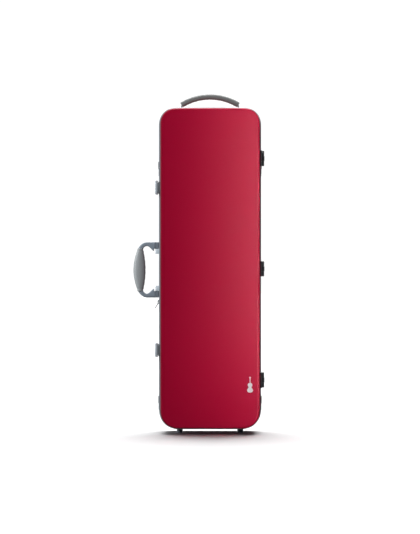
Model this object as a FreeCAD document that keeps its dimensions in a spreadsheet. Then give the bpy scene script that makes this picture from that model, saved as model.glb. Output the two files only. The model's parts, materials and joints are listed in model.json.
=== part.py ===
"""Oblong hard-shell violin case that stands upright on its feet, as a parametric assembly.

Frame, in millimetres: +Z up, +X to the right, and the lid faces -Y. The origin is on the plane of the feet,
under the middle of the shells. The hinges are on the +X side, the latches and the carrying handle on the -X
side, and a second handle is on the top end. The seam between lid and base lies in a plane of constant y.
"""
import math
import os
import re

import FreeCAD, Part
import Sketcher

Vector = FreeCAD.Vector
Rotation = FreeCAD.Rotation

# ---------------------------------------------------------------------------------------------------------
# Driving dimensions
# ---------------------------------------------------------------------------------------------------------

DIMENSIONS = {
    # shells: outline of the rim, then how far the shells stand inside it
    "rim_side": 125.2, "rim_low": 10, "rim_high": 800, "rim_proud": 4,
    "top_radius": 36, "bottom_radius": 42,
    "seam": -14, "front": -70, "back": 70,
    "lid_wall": 2.5, "base_wall": 3, "lid_edge_radius": 7, "base_edge_radius": 16,
    "seam_gap": 0.6, "rim_depth": 9.4, "lid_rim_depth": 8.4, "lid_web": 1.6, "base_web": 2.2, "rim_clearance": 0.2,
    "gasket_width": 3, "gasket_inset": 1.2, "gasket_groove": 1, "gasket_proud": 0.3,
    "gasket_play": 0.05,
    # hinges
    "hinge_upper": 674.6, "hinge_middle": 403.5, "hinge_lower": 130.6,
    "hinge_length": 37, "hinge_out": 4.5, "hinge_pin_radius": 1.5, "pin_clearance": 0.06,
    "knuckle_radius": 3.4, "centre_knuckle_radius": 4.2, "centre_knuckle_length": 13, "knuckle_gap": 0.4,
    "leaf_thickness": 2.2, "leaf_start": 4.4, "bridge_gap": 0.3, "lid_leaf_reach": 30, "base_leaf_reach": 24,
    # latches
    "latch_upper": 602.8, "latch_lower": 204.3,
    "plate_thickness": 1.6, "plate_half_height": 14, "plate_reach": 40,
    "latch_pivot_out": 4.6, "latch_pivot_back": 28, "latch_pin_radius": 1.2, "latch_barrel_radius": 2.7,
    "latch_ear_low": 10.8, "latch_ear_high": 13.4, "latch_ear_radius": 3.4,
    "lever_half_height": 17, "lever_foot": 12, "barrel_gap": 0.3, "lever_inner": 3.2, "lever_outer": 6.4,
    "lever_lip": 9.6, "lever_reach": 14,
    "keeper_reach": 24, "keeper_lip_height": 2.5, "keeper_lip_near": 4, "keeper_lip_far": 9,
    # side handle
    "handle_middle": 401, "handle_half_height": 68.4, "handle_knuckle": 16.5, "handle_pivot_out": 4.8,
    "handle_pivot_back": 24, "handle_reach": 60.8, "handle_thickness": 13, "handle_pin_radius": 2,
    "grip_half_height": 53.6, "grip_outer": 64, "grip_inner": 34.5, "grip_end_outer": 53.3,
    "grip_end_inner": 40.3, "grip_depth": 22, "bracket_height": 12.2, "bracket_out": 9.7,
    # top handle
    "strap_radius": 133.5, "strap_middle": 828.5, "sleeve_radius": 6.5, "sleeve_bore": 4.6, "wire_radius": 1.5,
    "wire_leg": 69.8, "sleeve_overhang": 0.4, "top_pivot": 798.2, "top_pivot_back": 20, "trunnion_radius": 1.1,
    "anchor_half_width": 4.6, "anchor_half_depth": 2.6, "anchor_top": 800.2, "anchor_floor": 0.5,
    # feet
    "foot_spread": 74.5, "foot_front": 5, "foot_back": 45, "foot_top_radius": 8.4, "foot_low_radius": 6.2,
    # strap anchors and their rings
    "anchor_upper": 656, "anchor_lower": 76, "anchor_back": 38, "boss_half_height": 13, "boss_half_width": 8,
    "boss_out": 7, "ring_out": 4.6, "ring_drop": 3, "ring_half_width": 13.4, "ring_length": 21.4,
    "ring_wire": 2.8, "ring_edge": 1.3, "ring_bore": 1.6,
    # key ring
    "key_lug": 322, "key_ring_radius": 8, "key_wire": 0.9, "key_tilt": 29, "key_lug_back": 8,
    # foam bed and compartments
    "foam_gap": 0.2, "bed_top": 443, "foam_front": -8, "bed_floor": 12,
    "lower_bout": 143, "lower_bout_radius": 108, "upper_bout": 307, "upper_bout_radius": 88,
    "waist_half_width": 60, "waist_low": 205, "waist_high": 262, "neck_half_width": 30,
    "divider": 37, "box_low": 445, "box_wall": 5, "box_floor": 6, "channel_floor": 16, "channel_head": 650,
    "flap_hinge": 112.5, "flap_thickness": 4.6, "flap_gap": 0.35,
    "neck_rest_low": 500, "neck_rest_high": 530, "neck_rest_front": 12, "neck_notch": 17,
    "neck_strap_thickness": 2,
    # lid interior
    "lid_foam": 5, "lid_foam_wall": 4, "lid_foam_back": -20, "bow_offset": 58, "bow_bore": 7,
    "sleeve_low": 26, "sleeve_high": 106, "sleeve_half_width": 13, "sleeve_depth": 20,
    "clip_middle": 700, "clip_half_width": 15, "clip_half_height": 19, "clip_depth": 16, "clip_groove": 5.5,
    "spinner_half_width": 5, "spinner_half_length": 17, "spinner_thickness": 5, "spinner_gap": 0.4,
    "spinner_stem_radius": 3,
    # screws
    "screw_radius": 2.6, "screw_height": 0.9,
}

doc = FreeCAD.newDocument("violin_case")
sheet = doc.addObject("Spreadsheet::Sheet", "Dims")
for row, (alias, number) in enumerate(DIMENSIONS.items(), start=1):
    sheet.set(f"A{row}", alias)
    sheet.set(f"B{row}", str(number))
    sheet.setAlias(f"B{row}", alias)
doc.recompute()

ALIAS = re.compile(r"\b(" + "|".join(sorted(DIMENSIONS, key=len, reverse=True)) + r")\b")
NODES = []


def bound(expression):
    """The expression with each dimension's name pointed at its cell in the sheet."""
    return ALIAS.sub(r"Dims.\1", str(expression))


def number(expression):
    """The expression's present value, worked out by the sheet."""
    return float(sheet.evalExpression(bound(expression)))


def bind(thing, **expressions):
    """Tie properties of an object to expressions; x, y and z stand for its placement."""
    for name, expression in expressions.items():
        target = f"Placement.Base.{name}" if name in ("x", "y", "z") else name
        thing.setExpression(target, bound(expression))
    return thing


def node(thing, label):
    """Name an object as one sub-part of the case."""
    thing.Label = label
    NODES.append(thing)
    return thing


# ---------------------------------------------------------------------------------------------------------
# Part primitives and booleans
# ---------------------------------------------------------------------------------------------------------

TURN_Z_TO = {
    "X": Rotation(Vector(0, 1, 0), 90),
    "Y": Rotation(Vector(1, 0, 0), -90),
    "Z": Rotation(),
}


def box(x, y, z, name="block"):
    """A block between two limits along each axis; each limit is an expression."""
    thing = doc.addObject("Part::Box", name)
    bind(thing, x=x[0], y=y[0], z=z[0])
    size = [f"({limits[1]}) - ({limits[0]})" for limits in (x, y, z)]
    return bind(thing, Length=size[0], Width=size[1], Height=size[2])


def rod(axis, radius, x, y, z, length, name="rod"):
    """A cylinder that starts at (x, y, z) and runs along +axis."""
    thing = doc.addObject("Part::Cylinder", name)
    thing.Placement = FreeCAD.Placement(Vector(), TURN_Z_TO[axis])
    bind(thing, Radius=radius, Height=length)
    return bind(thing, x=x, y=y, z=z)


def fuse(*things):
    thing = doc.addObject("Part::MultiFuse", "joined")
    thing.Shapes = list(things)
    thing.Refine = True
    return thing


def cut(base, *tools):
    thing = doc.addObject("Part::Cut", "trimmed")
    thing.Base = base
    thing.Tool = tools[0] if len(tools) == 1 else fuse(*tools)
    thing.Refine = True
    return thing


def common(*things):
    thing = doc.addObject("Part::MultiCommon", "shared")
    thing.Shapes = list(things)
    return thing


def group(*things):
    """Several separate solids that share one node."""
    thing = doc.addObject("Part::Compound", "group")
    thing.Links = list(things)
    return thing


# ---------------------------------------------------------------------------------------------------------
# PartDesign bodies: an outline in a sketch, padded along the plane's axis
# ---------------------------------------------------------------------------------------------------------

PLANES = {"XY": ("z", 1), "XZ": ("y", -1), "YZ": ("x", 1)}


def new_sketch(body, plane, offset="0"):
    """A sketch on one of the body's own origin planes, moved along the plane's normal by offset."""
    sketch = body.newObject("Sketcher::SketchObject", "outline")
    origin_plane = [item for item in body.Origin.OriginFeatures if item.Role == f"{plane}_Plane"][0]
    sketch.AttachmentSupport = [(origin_plane, "")]
    sketch.MapMode = "FlatFace"
    sketch.setExpression("AttachmentOffset.Base.z", bound(offset))
    doc.recompute()
    return sketch


def name_constraint(sketch, constraint, expression):
    """Add a dimension to a sketch and tie it to an expression."""
    index = sketch.addConstraint(constraint)
    name = f"size{index}"
    sketch.renameConstraint(index, name)
    sketch.setExpression(f"Constraints.{name}", bound(expression))


def rounded_rectangle(left, right, low, high, radii):
    """Four straight sides and a quarter arc at each corner; radii run anticlockwise from low right."""
    def draw(sketch):
        first = sketch.GeometryCount
        x0, x1, y0, y1 = (number(limit) for limit in (left, right, low, high))
        r = [number(radius) for radius in radii]
        corners = [(x1 - r[0], y0 + r[0]), (x1 - r[1], y1 - r[1]),
                   (x0 + r[2], y1 - r[2]), (x0 + r[3], y0 + r[3])]
        straights = [
            (Vector(x0 + r[3], y0, 0), Vector(x1 - r[0], y0, 0)),
            (Vector(x1, y0 + r[0], 0), Vector(x1, y1 - r[1], 0)),
            (Vector(x1 - r[1], y1, 0), Vector(x0 + r[2], y1, 0)),
            (Vector(x0, y1 - r[2], 0), Vector(x0, y0 + r[3], 0)),
        ]
        for turn in range(4):
            sketch.addGeometry(Part.LineSegment(*straights[turn]))
            circle = Part.Circle(Vector(*corners[turn], 0), Vector(0, 0, 1), r[turn])
            start = math.radians(90 * turn - 90)
            sketch.addGeometry(Part.ArcOfCircle(circle, start, start + math.pi / 2))
        for side in range(8):
            sketch.addConstraint(Sketcher.Constraint("Tangent", first + side, 2, first + (side + 1) % 8, 1))
        for turn in range(4):
            direction = "Vertical" if turn % 2 else "Horizontal"
            sketch.addConstraint(Sketcher.Constraint(direction, first + 2 * turn))
        for turn, (kind, limit) in enumerate((("Y", low), ("X", right), ("Y", high), ("X", left))):
            distance = Sketcher.Constraint(f"Distance{kind}", -1, 1, first + 2 * turn, 1, number(limit))
            name_constraint(sketch, distance, limit)
        for turn in range(4):
            name_constraint(sketch, Sketcher.Constraint("Radius", first + 2 * turn + 1, r[turn]), radii[turn])
    return draw


def circle_outline(x, y, radius):
    """One full circle."""
    def draw(sketch):
        index = sketch.addGeometry(Part.Circle(Vector(number(x), number(y), 0), Vector(0, 0, 1), number(radius)))
        name_constraint(sketch, Sketcher.Constraint("Radius", index, number(radius)), radius)
        name_constraint(sketch, Sketcher.Constraint("DistanceX", -1, 1, index, 3, number(x)), x)
        name_constraint(sketch, Sketcher.Constraint("DistanceY", -1, 1, index, 3, number(y)), y)
    return draw


def polygon(*points):
    """A closed chain of straight lines through points whose coordinates are expressions."""
    def draw(sketch):
        first = sketch.GeometryCount
        places = [Vector(number(x), number(y), 0) for x, y in points]
        total = len(points)
        for index in range(total):
            sketch.addGeometry(Part.LineSegment(places[index], places[(index + 1) % total]))
        for index in range(total):
            after = first + (index + 1) % total
            sketch.addConstraint(Sketcher.Constraint("Coincident", first + index, 2, after, 1))
        for index, (x, y) in enumerate(points):
            for kind, value in (("DistanceX", x), ("DistanceY", y)):
                distance = Sketcher.Constraint(kind, -1, 1, first + index, 1, number(value))
                name_constraint(sketch, distance, value)
    return draw


def prism(plane, low, high, *outlines):
    """A body padded between two positions along the plane's axis; inner outlines become holes."""
    axis, direction = PLANES[plane]
    body = doc.addObject("PartDesign::Body", "body")
    bind(body, **{axis: low if direction > 0 else high})
    sketch = new_sketch(body, plane)
    for draw in outlines:
        draw(sketch)
    pad = body.newObject("PartDesign::Pad", "pad")
    pad.Profile = sketch
    bind(pad, Length=f"({high}) - ({low})")
    doc.recompute()
    return body


def pocket(body, plane, start, depth, *outlines, along_normal=False):
    """Cut outlines into a body, from start (along the plane's normal) against it, or along it."""
    before = body.Shape.Volume
    sketch = new_sketch(body, plane, start)
    for draw in outlines:
        draw(sketch)
    hollow = body.newObject("PartDesign::Pocket", "pocket")
    hollow.Profile = sketch
    hollow.Reversed = along_normal
    bind(hollow, Length=depth)
    doc.recompute()
    if body.Shape.Volume > before - 1:
        raise RuntimeError(f"a pocket in {body.Label} cuts nothing")
    return body


def fillet(body, radius, chosen):
    """Round the edges of a body's last feature that the test picks out."""
    tip = body.Tip
    names = [f"Edge{index}" for index, edge in enumerate(tip.Shape.Edges, start=1) if chosen(edge)]
    rounding = body.newObject("PartDesign::Fillet", "fillet")
    rounding.Base = (tip, names)
    bind(rounding, Radius=radius)
    doc.recompute()
    if "Invalid" in rounding.State:
        raise RuntimeError(f"a fillet of {radius} fails on {len(names)} edges")
    return body


def flat_at(axis, position):
    """Test for edges that lie wholly in a plane across the axis."""
    def chosen(edge):
        limits = edge.BoundBox
        low, high = getattr(limits, f"{axis}Min"), getattr(limits, f"{axis}Max")
        return abs(low - position) < 0.01 and abs(high - position) < 0.01
    return chosen


def runs_along(axis, where=lambda middle: True):
    """Test for straight edges parallel to an axis, at a place that the second test accepts."""
    def chosen(edge):
        limits = edge.BoundBox
        lengths = {"X": limits.XLength, "Y": limits.YLength, "Z": limits.ZLength}
        across = sum(length for name, length in lengths.items() if name != axis)
        return lengths[axis] > 0.1 and across < 0.01 and where(limits.Center)
    return chosen


# ---------------------------------------------------------------------------------------------------------
# Shells, rims and gasket
# ---------------------------------------------------------------------------------------------------------

def case_outline(inset):
    """The case's outline, moved inwards from the rim's outer face by inset."""
    top = f"top_radius + rim_proud - ({inset})"
    bottom = f"bottom_radius + rim_proud - ({inset})"
    side = f"rim_side - ({inset})"
    return rounded_rectangle(
        f"-({side})", side, f"rim_low + {inset}", f"rim_high - ({inset})", (bottom, top, top, bottom))


def make_shells():
    """Two moulded trays of even wall, rounded along the edges of their faces inside and out."""
    lid_mouth = "seam - seam_gap - lid_web"
    lid = prism("XZ", "front", lid_mouth, case_outline("rim_proud"))
    depth = f"{lid_mouth} - (front)"
    pocket(lid, "XZ", "0", f"{depth} - lid_wall", case_outline("rim_proud + lid_wall"), along_normal=True)
    fillet(lid, "lid_edge_radius - lid_wall", flat_at("Y", number(f"lid_wall - ({depth})")))
    fillet(lid, "lid_edge_radius", flat_at("Y", -number(depth)))
    node(lid, "lid_shell")
    base_mouth = "seam + seam_gap + base_web"
    base = prism("XZ", base_mouth, "back", case_outline("rim_proud"))
    depth = f"back - ({base_mouth})"
    pocket(base, "XZ", depth, f"{depth} - base_wall", case_outline("rim_proud + base_wall"))
    fillet(base, "base_edge_radius - base_wall", flat_at("Y", -number("base_wall")))
    fillet(base, "base_edge_radius", flat_at("Y", 0))
    node(base, "base_shell")


def make_rims():
    """Angle-section rims: a band around each shell and a web over its edge; the base's web holds the gasket."""
    lid = prism("XZ", "seam - seam_gap - lid_rim_depth", "seam - seam_gap",
                case_outline("0"), case_outline("rim_proud + lid_wall"))
    pocket(lid, "XZ", "lid_rim_depth", "lid_rim_depth - lid_web", case_outline("rim_proud"))
    node(lid, "lid_rim")
    base = prism("XZ", "seam + seam_gap", "seam + seam_gap + rim_depth",
                 case_outline("0"), case_outline("rim_proud + base_wall"))
    pocket(base, "XZ", "0", "rim_depth - base_web", case_outline("rim_proud"), along_normal=True)
    inner_edge = "gasket_inset + gasket_width"
    pocket(base, "XZ", "rim_depth", "gasket_groove", case_outline("gasket_inset"), case_outline(inner_edge))
    node(base, "base_rim")
    gasket = prism("XZ", "seam - gasket_proud", "seam + seam_gap + gasket_groove",
                   case_outline("gasket_inset + gasket_play"), case_outline(f"{inner_edge} - gasket_play"))
    node(gasket, "rim_gasket")


# ---------------------------------------------------------------------------------------------------------
# Hinges
# ---------------------------------------------------------------------------------------------------------

def make_hinge(name, middle):
    """A butt hinge on the rims: the lid's leaf has the centre knuckle, the base's leaf the two end knuckles."""
    axis_x = "rim_side + hinge_out"
    low = f"{middle} - hinge_length / 2"
    high = f"{middle} + hinge_length / 2"
    centre_low = f"{middle} - centre_knuckle_length / 2"
    centre_high = f"{middle} + centre_knuckle_length / 2"
    face = ("rim_side", "rim_side + leaf_thickness")
    under = ("rim_side - rim_proud", "rim_side")
    bore = "hinge_pin_radius + pin_clearance"

    lid_leaf = fuse(
        box(face, ("seam - lid_leaf_reach", "seam - leaf_start"), (low, high)),
        box(under, ("seam - lid_leaf_reach", "seam - seam_gap - lid_rim_depth - rim_clearance"), (low, high)),
        box(("rim_side + bridge_gap", "rim_side + leaf_thickness"), ("seam - leaf_start", "seam"),
            (f"{centre_low} + knuckle_gap", f"{centre_high} - knuckle_gap")),
        rod("Z", "centre_knuckle_radius", axis_x, "seam", f"{centre_low} + knuckle_gap",
            "centre_knuckle_length - 2 * knuckle_gap"))
    node(cut(lid_leaf, rod("Z", bore, axis_x, "seam", low, "hinge_length")), f"hinge_{name}_lid_leaf")

    end_length = "(hinge_length - centre_knuckle_length) / 2"
    pieces = [
        box(face, ("seam + leaf_start", "seam + base_leaf_reach"), (low, high)),
        box(under, ("seam + seam_gap + rim_depth + rim_clearance", "seam + base_leaf_reach"), (low, high)),
    ]
    for start in (low, centre_high):
        pieces.append(rod("Z", "knuckle_radius", axis_x, "seam", start, end_length))
        pieces.append(box(("rim_side + bridge_gap", "rim_side + leaf_thickness"), ("seam", "seam + leaf_start"),
                          (start, f"{start} + {end_length}")))
    node(cut(fuse(*pieces), rod("Z", bore, axis_x, "seam", low, "hinge_length")), f"hinge_{name}_base_leaf")
    node(rod("Z", "hinge_pin_radius", axis_x, "seam", low, "hinge_length"), f"hinge_{name}_pin")


# ---------------------------------------------------------------------------------------------------------
# Latches
# ---------------------------------------------------------------------------------------------------------

def out(distance):
    """The x of a point that stands off the rim on the handle side."""
    return f"-(rim_side + {distance})"


def make_latch(name, middle):
    """A flip latch: a plate with two ears on the base, a lever over the seam, and a keeper on the lid."""
    pivot_x = out("latch_pivot_out")
    pivot_y = "seam + latch_pivot_back"
    low = f"{middle} - plate_half_height"
    high = f"{middle} + plate_half_height"
    behind_rim = "seam + seam_gap + rim_depth + rim_clearance"
    pieces = [
        box((out("0"), out("-rim_proud")), (behind_rim, "seam + plate_reach"), (low, high)),
        box((out("plate_thickness"), out("0")), ("seam + seam_gap + 2", "seam + plate_reach"), (low, high)),
    ]
    for start in (f"{middle} - latch_ear_high", f"{middle} + latch_ear_low"):
        height = "latch_ear_high - latch_ear_low"
        pieces.append(rod("Z", "latch_ear_radius", pivot_x, pivot_y, start, height))
        pieces.append(box((pivot_x, out("0")), (f"{pivot_y} - latch_ear_radius", f"{pivot_y} + latch_ear_radius"),
                          (start, f"{start} + {height}")))
    hole = rod("Z", "latch_pin_radius", pivot_x, pivot_y, low, "2 * plate_half_height")
    node(cut(fuse(*pieces), hole), f"latch_{name}_plate")
    node(rod("Z", "latch_pin_radius", pivot_x, pivot_y, f"{middle} - latch_ear_high", "2 * latch_ear_high"),
         f"latch_{name}_pin")

    barrel_half = "latch_ear_low - barrel_gap"
    barrel = rod("Z", "latch_barrel_radius", pivot_x, pivot_y, f"{middle} - ({barrel_half})", f"2 * ({barrel_half})")
    tongue = box((out("lever_outer"), out("lever_inner")), ("seam + lever_foot", pivot_y),
                 (f"{middle} - ({barrel_half})", f"{middle} + {barrel_half}"))
    lever_front = "seam - lever_reach"
    plate = prism("XY", f"{middle} - lever_half_height", f"{middle} + lever_half_height", polygon(
        (out("lever_inner"), "seam + lever_foot"),
        (out("lever_outer"), "seam + lever_foot"),
        (out("lever_outer"), f"{lever_front} + 8"),
        (out("lever_lip"), f"{lever_front} + 2"),
        (out("lever_lip"), lever_front),
        (out("lever_inner + 3"), lever_front),
        (out("lever_inner"), f"{lever_front} + 3")))
    fillet(plate, "1", runs_along("Z", lambda centre: centre.x < -number("rim_side + lever_outer - 1")))
    envelope = prism("XZ", f"{lever_front} - 1", "seam + lever_foot + 1", rounded_rectangle(
        out("lever_lip + 0.1"), out("lever_inner - 0.1"), f"{middle} - lever_half_height",
        f"{middle} + lever_half_height", ("1", "1", "3", "3")))
    plate = common(plate, envelope)
    bore = rod("Z", "latch_pin_radius + pin_clearance", pivot_x, pivot_y, low, "2 * plate_half_height")
    node(cut(fuse(barrel, tongue, plate), bore), f"latch_{name}_lever")

    lid_side = "seam - seam_gap - lid_rim_depth - rim_clearance"
    keeper = fuse(
        box((out("0"), out("-rim_proud")), ("seam - keeper_reach", lid_side), (low, high)),
        box((out("plate_thickness"), out("0")), ("seam - keeper_reach", "seam - 2"), (low, high)),
        box((out("keeper_lip_height"), out("0")), ("seam - keeper_lip_far", "seam - keeper_lip_near"),
            (f"{middle} - 10", f"{middle} + 10")))
    node(keeper, f"latch_{name}_keeper")


# ---------------------------------------------------------------------------------------------------------
# Handles
# ---------------------------------------------------------------------------------------------------------

def make_side_handle():
    """A moulded bow with a padded grip, on two pins in brackets behind the rim."""
    pivot_x = out("handle_pivot_out")
    pivot_y = "seam + handle_pivot_back"
    thickness = ("-handle_thickness / 2", "handle_thickness / 2")
    high = "handle_half_height"
    arm = "handle_half_height - handle_knuckle"
    tooth_x = out("13")
    outline = []
    for end in (1, -1):
        half = [
            (out("0.6"), f"{end} * ({arm})"),
            (out("0.6"), f"{end} * {high}"),
            (out("32"), f"{end} * {high}"),
            (out("45"), f"{end} * ({high} - 6.5)"),
            (out("53.3"), f"{end} * ({high} - 17)"),
            (out("handle_reach"), f"{end} * ({high} - 50)"),
        ]
        inner = [
            (out("handle_reach - 12"), f"{end} * ({high} - 50)"),
            (out("41.5"), f"{end} * ({high} - 18.5)"),
            (out("37"), f"{end} * ({high} - 12.5)"),
            (out("31"), f"{end} * ({high} - 10)"),
            (out("24.5"), f"{end} * ({high} - 12.5)"),
            (tooth_x, f"{end} * ({arm} - 4.5)"),
            (tooth_x, f"{end} * ({arm})"),
        ]
        outline.append((half, inner))
    (upper, upper_inner), (lower, lower_inner) = outline
    points = upper + lower[::-1] + lower_inner[::-1] + upper_inner
    bow = prism("XZ", *thickness, polygon(*points))
    bind(bow, y=f"{pivot_y} + handle_thickness / 2", z="handle_middle")
    pin_holes = [rod("Z", "handle_pin_radius + pin_clearance", pivot_x, pivot_y, f"handle_middle + {start}",
                     "handle_knuckle + 2") for start in (f"({arm}) - 1", f"-({high}) - 1")]
    knuckles = [rod("Z", "handle_pivot_out - 0.6", pivot_x, pivot_y, f"handle_middle + {start}",
                    "handle_knuckle") for start in (arm, f"-({high})")]
    trim = [box((out("handle_pivot_out"), out("0")),
                (f"{pivot_y} - handle_thickness", f"{pivot_y} + handle_thickness"),
                (f"handle_middle + {start}", f"handle_middle + {start} + handle_knuckle + 0.2"))
            for start in (f"({arm}) - 0.1", f"-({high}) - 0.1")]
    node(cut(fuse(cut(bow, *trim), *knuckles), *pin_holes), "side_handle_bow")

    grip = prism("XZ", "-grip_depth / 2", "grip_depth / 2", polygon(
        (out("grip_end_inner"), "grip_half_height"),
        (out("grip_end_outer"), "grip_half_height"),
        (out("grip_outer - 2.4"), "grip_half_height - 26"),
        (out("grip_outer"), "grip_half_height - 44"),
        (out("grip_outer"), "-(grip_half_height - 44)"),
        (out("grip_outer - 2.4"), "-(grip_half_height - 26)"),
        (out("grip_end_outer"), "-grip_half_height"),
        (out("grip_end_inner"), "-grip_half_height"),
        (out("grip_inner"), "-(grip_half_height - 40)"),
        (out("grip_inner"), "grip_half_height - 40")))
    fillet(grip, "5", lambda edge: edge.BoundBox.YLength < 0.01 and edge.BoundBox.ZLength > 1)
    bind(grip, y=f"{pivot_y} + grip_depth / 2", z="handle_middle")
    core = prism("XZ", *thickness, polygon(*points))
    bind(core, y=f"{pivot_y} + handle_thickness / 2", z="handle_middle")
    node(cut(grip, core), "side_handle_grip")

    pins = []
    for name, side in (("upper", 1), ("lower", -1)):
        near = f"handle_middle + {side} * ({arm} - 0.3)"
        far = f"handle_middle + {side} * ({arm} - 0.3 - bracket_height)"
        low, top = (far, near) if side > 0 else (near, far)
        lug = prism("XY", low, top, rounded_rectangle(
            out("bracket_out"), out("0.3"), f"{pivot_y} - 6", f"{pivot_y} + 6", ("1", "1", "3", "3")))
        foot_low, foot_high = (f"{low} - 5", top) if side > 0 else (low, f"{top} + 5")
        foot = box((out("0.3"), out("-rim_proud")), (f"{pivot_y} - 9", f"{pivot_y} + 9"), (foot_low, foot_high))
        hole = rod("Z", "handle_pin_radius", pivot_x, pivot_y, f"{low} - 1", "bracket_height + 2")
        node(cut(fuse(lug, foot), hole), f"side_handle_bracket_{name}")
        pin_low = low if side > 0 else f"handle_middle - ({high}) + 1.5"
        pins.append(rod("Z", "handle_pin_radius", pivot_x, pivot_y, pin_low, "bracket_height + handle_knuckle - 1.2"))
    node(group(*pins), "side_handle_pins")


def arc_tube(radius, half_angle, label):
    """A round bar bent to the top handle's arc, centred on its middle."""
    tube = doc.addObject("Part::Torus", label)
    tube.Angle1 = -180
    tube.Angle2 = 180
    bind(tube, Radius1="strap_radius", Radius2=radius, Angle3=f"2 * ({half_angle})")
    upright = FreeCAD.Placement(Vector(), Rotation(Vector(1, 0, 0), 90))
    centred = FreeCAD.Placement(Vector(), Rotation(Vector(0, 0, 1), 90 - number(half_angle)))
    tube.Placement = upright.multiply(centred)
    return bind(tube, y="top_pivot_back", z="strap_middle - strap_radius")


def make_top_handle():
    """A tubular sleeve on a bent wire, whose legs swing in two slotted anchors on the top wall."""
    sleeve_angle = "asin((wire_leg + sleeve_overhang) / strap_radius)"
    sleeve = arc_tube("sleeve_radius", sleeve_angle, "sleeve")
    node(cut(sleeve, arc_tube("sleeve_bore", sleeve_angle, "bore")), "top_handle_sleeve")
    wire_angle = "asin(wire_leg / strap_radius)"
    leg_top = "strap_middle - strap_radius + sqrt(strap_radius ^ 2 - wire_leg ^ 2)"
    pieces = [arc_tube("wire_radius", wire_angle, "wire")]
    for side in (-1, 1):
        leg_x = f"{side} * wire_leg"
        pieces.append(rod("Z", "wire_radius", leg_x, "top_pivot_back", "top_pivot", f"{leg_top} - top_pivot"))
        for height in ("top_pivot", leg_top):
            knob = doc.addObject("Part::Sphere", "bend")
            bind(knob, Radius="wire_radius", x=leg_x, y="top_pivot_back", z=height)
            pieces.append(knob)
        pieces.append(rod("X", "trunnion_radius", f"{leg_x} - anchor_half_width + 0.5", "top_pivot_back",
                          "top_pivot", "2 * anchor_half_width - 1"))
    node(fuse(*pieces), "top_handle_wire")
    wall = "rim_high - rim_proud"
    for name, side in (("left", -1), ("right", 1)):
        middle = f"{side} * wire_leg"
        block = prism("YZ", f"{middle} - anchor_half_width", f"{middle} + anchor_half_width", rounded_rectangle(
            "top_pivot_back - anchor_half_depth", "top_pivot_back + anchor_half_depth", wall, "anchor_top",
            ("0.3", "1.5", "1.5", "0.3")))
        slot = box((f"{middle} - wire_radius - 0.4", f"{middle} + wire_radius + 0.4"),
                   ("top_pivot_back - 7", "top_pivot_back + 7"), (f"{wall} + anchor_floor", "anchor_top + 1"))
        hole = rod("X", "trunnion_radius + pin_clearance", f"{middle} - anchor_half_width - 1", "top_pivot_back",
                   "top_pivot", "2 * anchor_half_width + 2")
        node(cut(block, slot, hole), f"top_handle_anchor_{name}")


# ---------------------------------------------------------------------------------------------------------
# Feet, strap anchors and key ring
# ---------------------------------------------------------------------------------------------------------

def make_feet():
    """Four tapered rubber feet under the bottom wall of the base shell."""
    feet = []
    for side in (-1, 1):
        for depth in ("foot_front", "foot_back"):
            foot = doc.addObject("Part::Cone", "foot")
            bind(foot, Radius1="foot_low_radius", Radius2="foot_top_radius", Height="rim_low + rim_proud",
                 x=f"{side} * foot_spread", y=depth, z="0")
            feet.append(foot)
    node(group(*feet), "feet")


def make_strap_anchor(name, side, middle):
    """A boss on the base's side wall, with a wire ring that hangs from a bar through it."""
    wall = "rim_side - rim_proud"
    bar_x = f"{side} * ({wall} + ring_out)"
    bar_z = f"{middle} - ring_drop"
    low_x, high_x = (wall, f"{wall} + boss_out") if side > 0 else (f"-({wall} + boss_out)", f"-({wall})")
    boss = prism("YZ", low_x, high_x, rounded_rectangle(
        "anchor_back - boss_half_width", "anchor_back + boss_half_width",
        f"{middle} - ring_drop - 3.4", f"{middle} + boss_half_height", ("3", "6", "6", "3")))
    outer = 0 if side < 0 else number("boss_out")
    fillet(boss, "1.6", flat_at("X", outer))
    hole = rod("Y", "ring_bore", bar_x, "anchor_back - boss_half_width - 1", bar_z, "2 * boss_half_width + 2")
    node(cut(boss, hole), f"strap_anchor_{name}")
    ring = prism("YZ", f"{bar_x} - ring_wire / 2", f"{bar_x} + ring_wire / 2",
                 rounded_rectangle("-ring_half_width", "ring_half_width", "ring_wire / 2 - ring_length",
                                   "ring_wire / 2", ("10", "3", "3", "10")),
                 rounded_rectangle("-(ring_half_width - ring_wire)", "ring_half_width - ring_wire",
                                   "1.5 * ring_wire - ring_length", "-ring_wire / 2", ("7.2", "1", "1", "7.2")))
    fillet(ring, "ring_edge", lambda edge: edge.BoundBox.XLength < 0.01)
    bind(ring, y="anchor_back", z=bar_z)
    node(ring, f"strap_ring_{name}")


def make_key_ring():
    """A small lug on the base rim's side with a wire ring through it, which leans outwards."""
    lug_x = out("1.6")
    lug_y = "seam + key_lug_back"
    tab = prism("XZ", f"{lug_y} - 1.2", f"{lug_y} + 1.2", rounded_rectangle(
        out("3.6"), out("0"), "key_lug - 5", "key_lug + 5", ("0.5", "0.5", "2.5", "2.5")))
    hole = rod("Y", "key_wire + 0.5", lug_x, f"{lug_y} - 3", "key_lug - 1", "6")
    node(cut(tab, hole), "key_ring_lug")
    ring = doc.addObject("Part::Torus", "ring")
    tilt = number("key_tilt")
    lean = Rotation(Vector(0, 1, 0), tilt)
    ring.Placement = FreeCAD.Placement(Vector(), lean.multiply(Rotation(Vector(0, 1, 0), 90)))
    bind(ring, Radius1="key_ring_radius", Radius2="key_wire", y=lug_y)
    bind(ring, x=f"{lug_x} - key_ring_radius * sin(key_tilt)", z="key_lug - 1 - key_ring_radius * cos(key_tilt)")
    node(ring, "key_ring")


# ---------------------------------------------------------------------------------------------------------
# Interior of the base
# ---------------------------------------------------------------------------------------------------------

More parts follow.
